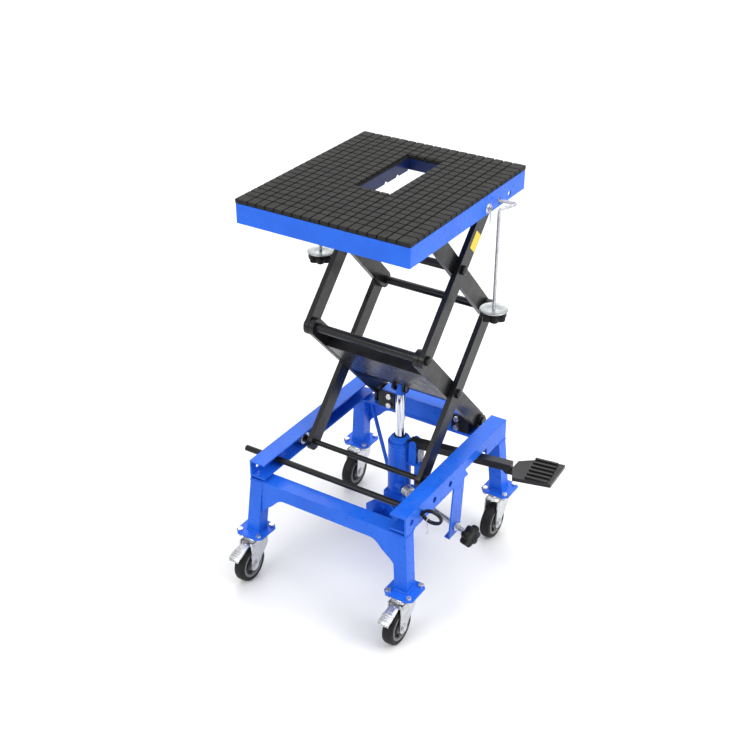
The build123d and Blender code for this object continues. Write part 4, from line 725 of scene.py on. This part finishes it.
# ================= Pivot heads =================
HEAD = [(8.8, -1.2), (9.3, -0.8), (9.2, 0.0), (8.0, 0.7), (5.0, 0.9), (4.4, 0.2), (0.0, 0.1)]
SOCKET = [(3.0, 0.1), (3.3, 0.6), (1.6, 1.1), (0.0, 1.2)]
PIVOTS = (("mid_front_bar", "lower_inner_frame"), ("mid_rear_bar", "upper_inner_frame"),
          ("upper_centre_shaft", "upper_outer_frame"), ("lower_centre_bolts", "lower_outer_frame"))
for node_name, body in PIVOTS:
    low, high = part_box(node_name)
    mesh = bmesh.new()
    for side in (-1, 1):
        centre = (side * high.x, (low.y + high.y) / 2, (low.z + high.z) / 2)
        lathe(mesh, HEAD, centre, (side, 0, 0), 48)
        lathe(mesh, SOCKET, centre, (side, 0, 0), 6)
    piece(f"pin_heads_{node_name}", mesh, [BLACK], body, 30)


# ================= Plain label =================
LABEL_CORNERS = ((41.5, -15.5), (76.0, -15.5), (76.0, 7.0), (41.5, 7.0))    # along and across the arm
ARM_TILT = math.radians(46.85)
LABEL_GAP, LABEL_THICK = 0.05 * MM, 0.25 * MM
arm_low, arm_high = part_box("upper_outer_arms")
crossing = (arm_low + arm_high) / 2
corners = []
for along, across in LABEL_CORNERS:
    corners.append((arm_high.x + LABEL_GAP,
                    crossing.y + (along * math.cos(ARM_TILT) - across * math.sin(ARM_TILT)) * MM,
                    crossing.z + (along * math.sin(ARM_TILT) + across * math.cos(ARM_TILT)) * MM))
mesh = bmesh.new()
prism(mesh, corners, (LABEL_THICK, 0, 0))
piece("plain_label", mesh, [LABEL], "upper_outer_frame")


# ================= Weld beads =================
# Height, half width of the leg, the leg's place in x and y, and the bead's radius: foot, then head
LEG_WELDS = ((105.6, 14.1, 169.5, 189.0, 2.1), (223.2, 13.9, 159.6, 182.1, 1.7))
WELD_PITCH, WELD_RIPPLE = 2.2, 0.12


def leg_loop(x, y, z, half):
    corners = [(x - half, y - half), (x + half, y - half), (x + half, y + half), (x - half, y + half)]
    loop = []
    for index, (px, py) in enumerate(corners):
        nx, ny = corners[(index + 1) % len(corners)]
        loop += run((px * MM, py * MM, z * MM), (nx * MM, ny * MM, z * MM), WELD_PITCH)[:-1]
    return loop


for end, end_name in ENDS:
    mesh = bmesh.new()
    for side, side_name in SIDES:
        for z, half, x, y, radius in LEG_WELDS:
            tube(mesh, leg_loop(side * x, end * y, z, half), radius, 8, WELD_RIPPLE, True)
    piece(f"leg_welds_{end_name}", mesh, [BLUE], "base", 70)


# ================= Floor, light and camera =================
FLOOR_HALF = 45
floor = bpy.data.meshes.new("studio_floor")
floor.from_pydata([(-FLOOR_HALF, -FLOOR_HALF, 0), (FLOOR_HALF, -FLOOR_HALF, 0),
                   (FLOOR_HALF, FLOOR_HALF, 0), (-FLOOR_HALF, FLOOR_HALF, 0)], [], [(0, 1, 2, 3)])
floor_object = bpy.data.objects.new("studio_floor", floor)
scene.collection.objects.link(floor_object)
g = Graph("pale_floor")
tone = g.mix(g.span(g.noise(0.6, 3.0), 0.3, 0.7), (0.80, 0.80, 0.80), (0.82, 0.82, 0.82))
floor.materials.append(g.finish(tone, 0.55, g.bump(g.noise(0.004, 3.0), 0.00005, 0.3), 0.0, 0.3))

# The sky brightens upward. The pale backdrop is seen directly, and the darker horizon only in reflections.
HORIZON_AT, HORIZON = 0.10, (0.20, 0.205, 0.21, 1.0)
ZENITH_AT, ZENITH = 0.45, (1.0, 1.0, 1.0, 1.0)
BACKDROP = (0.86, 0.86, 0.86, 1.0)
world = bpy.data.worlds.new("studio")
world.use_nodes = True
sky = world.node_tree
background = sky.nodes["Background"]
direction = sky.nodes.new("ShaderNodeTexCoord")
parts = sky.nodes.new("ShaderNodeSeparateXYZ")
ramp = sky.nodes.new("ShaderNodeValToRGB")
sky.links.new(direction.outputs["Generated"], parts.inputs[0])
sky.links.new(parts.outputs["Z"], ramp.inputs[0])
for stop, at, colour in zip(ramp.color_ramp.elements, (HORIZON_AT, ZENITH_AT), (HORIZON, ZENITH)):
    stop.position = at
    stop.color = colour
ray = sky.nodes.new("ShaderNodeLightPath")
seen = sky.nodes.new("ShaderNodeMix")
seen.data_type = "RGBA"
sky.links.new(ray.outputs["Is Camera Ray"], seen.inputs[0])
sky.links.new(ramp.outputs[0], seen.inputs[6])
seen.inputs[7].default_value = BACKDROP
sky.links.new(seen.outputs[2], background.inputs[0])
background.inputs[1].default_value = 1.0
scene.world = world

# Name, place, target, size in metres and power in watts
SOFTBOXES = (
    ("key", (2.7, 0.2, 2.0), (0, 0, 0.5), (1.5, 1.5), 47),
    ("front", (-0.7, -3.0, 2.2), (0, 0, 0.5), (1.8, 1.2), 40),
    ("top", (0.2, 0.2, 3.2), (0, 0, 0.6), (2.2, 2.2), 31),
    ("floor_wash", (-1.5, 3.5, 3.5), (-1.5, 4.5, 0.0), (5.0, 3.0), 120),
)
for name, at, target, size, power in SOFTBOXES:
    data = bpy.data.lights.new(name, "AREA")
    data.shape = "RECTANGLE"
    data.size, data.size_y = size
    data.energy = power
    lamp = bpy.data.objects.new(name, data)
    scene.collection.objects.link(lamp)
    lamp.location = at
    lamp.rotation_euler = (Vector(target) - Vector(at)).to_track_quat("-Z", "Y").to_euler()

CAMERA_AT = (1.0678, -1.7289, 1.6004)
CAMERA_TILT, CAMERA_TURN = 60.09, 32.52     # degrees from straight down, and round the object
camera = bpy.data.cameras.new("camera")
camera.lens = 60.98
camera.sensor_width = 36.0
camera.clip_end = 60.0
camera_object = bpy.data.objects.new("camera", camera)
camera_object.location = CAMERA_AT
camera_object.rotation_euler = (math.radians(CAMERA_TILT), 0.0, math.radians(CAMERA_TURN))
scene.collection.objects.link(camera_object)
scene.camera = camera_object
scene.view_settings.view_transform = "Standard"

bpy.context.view_layer.update()
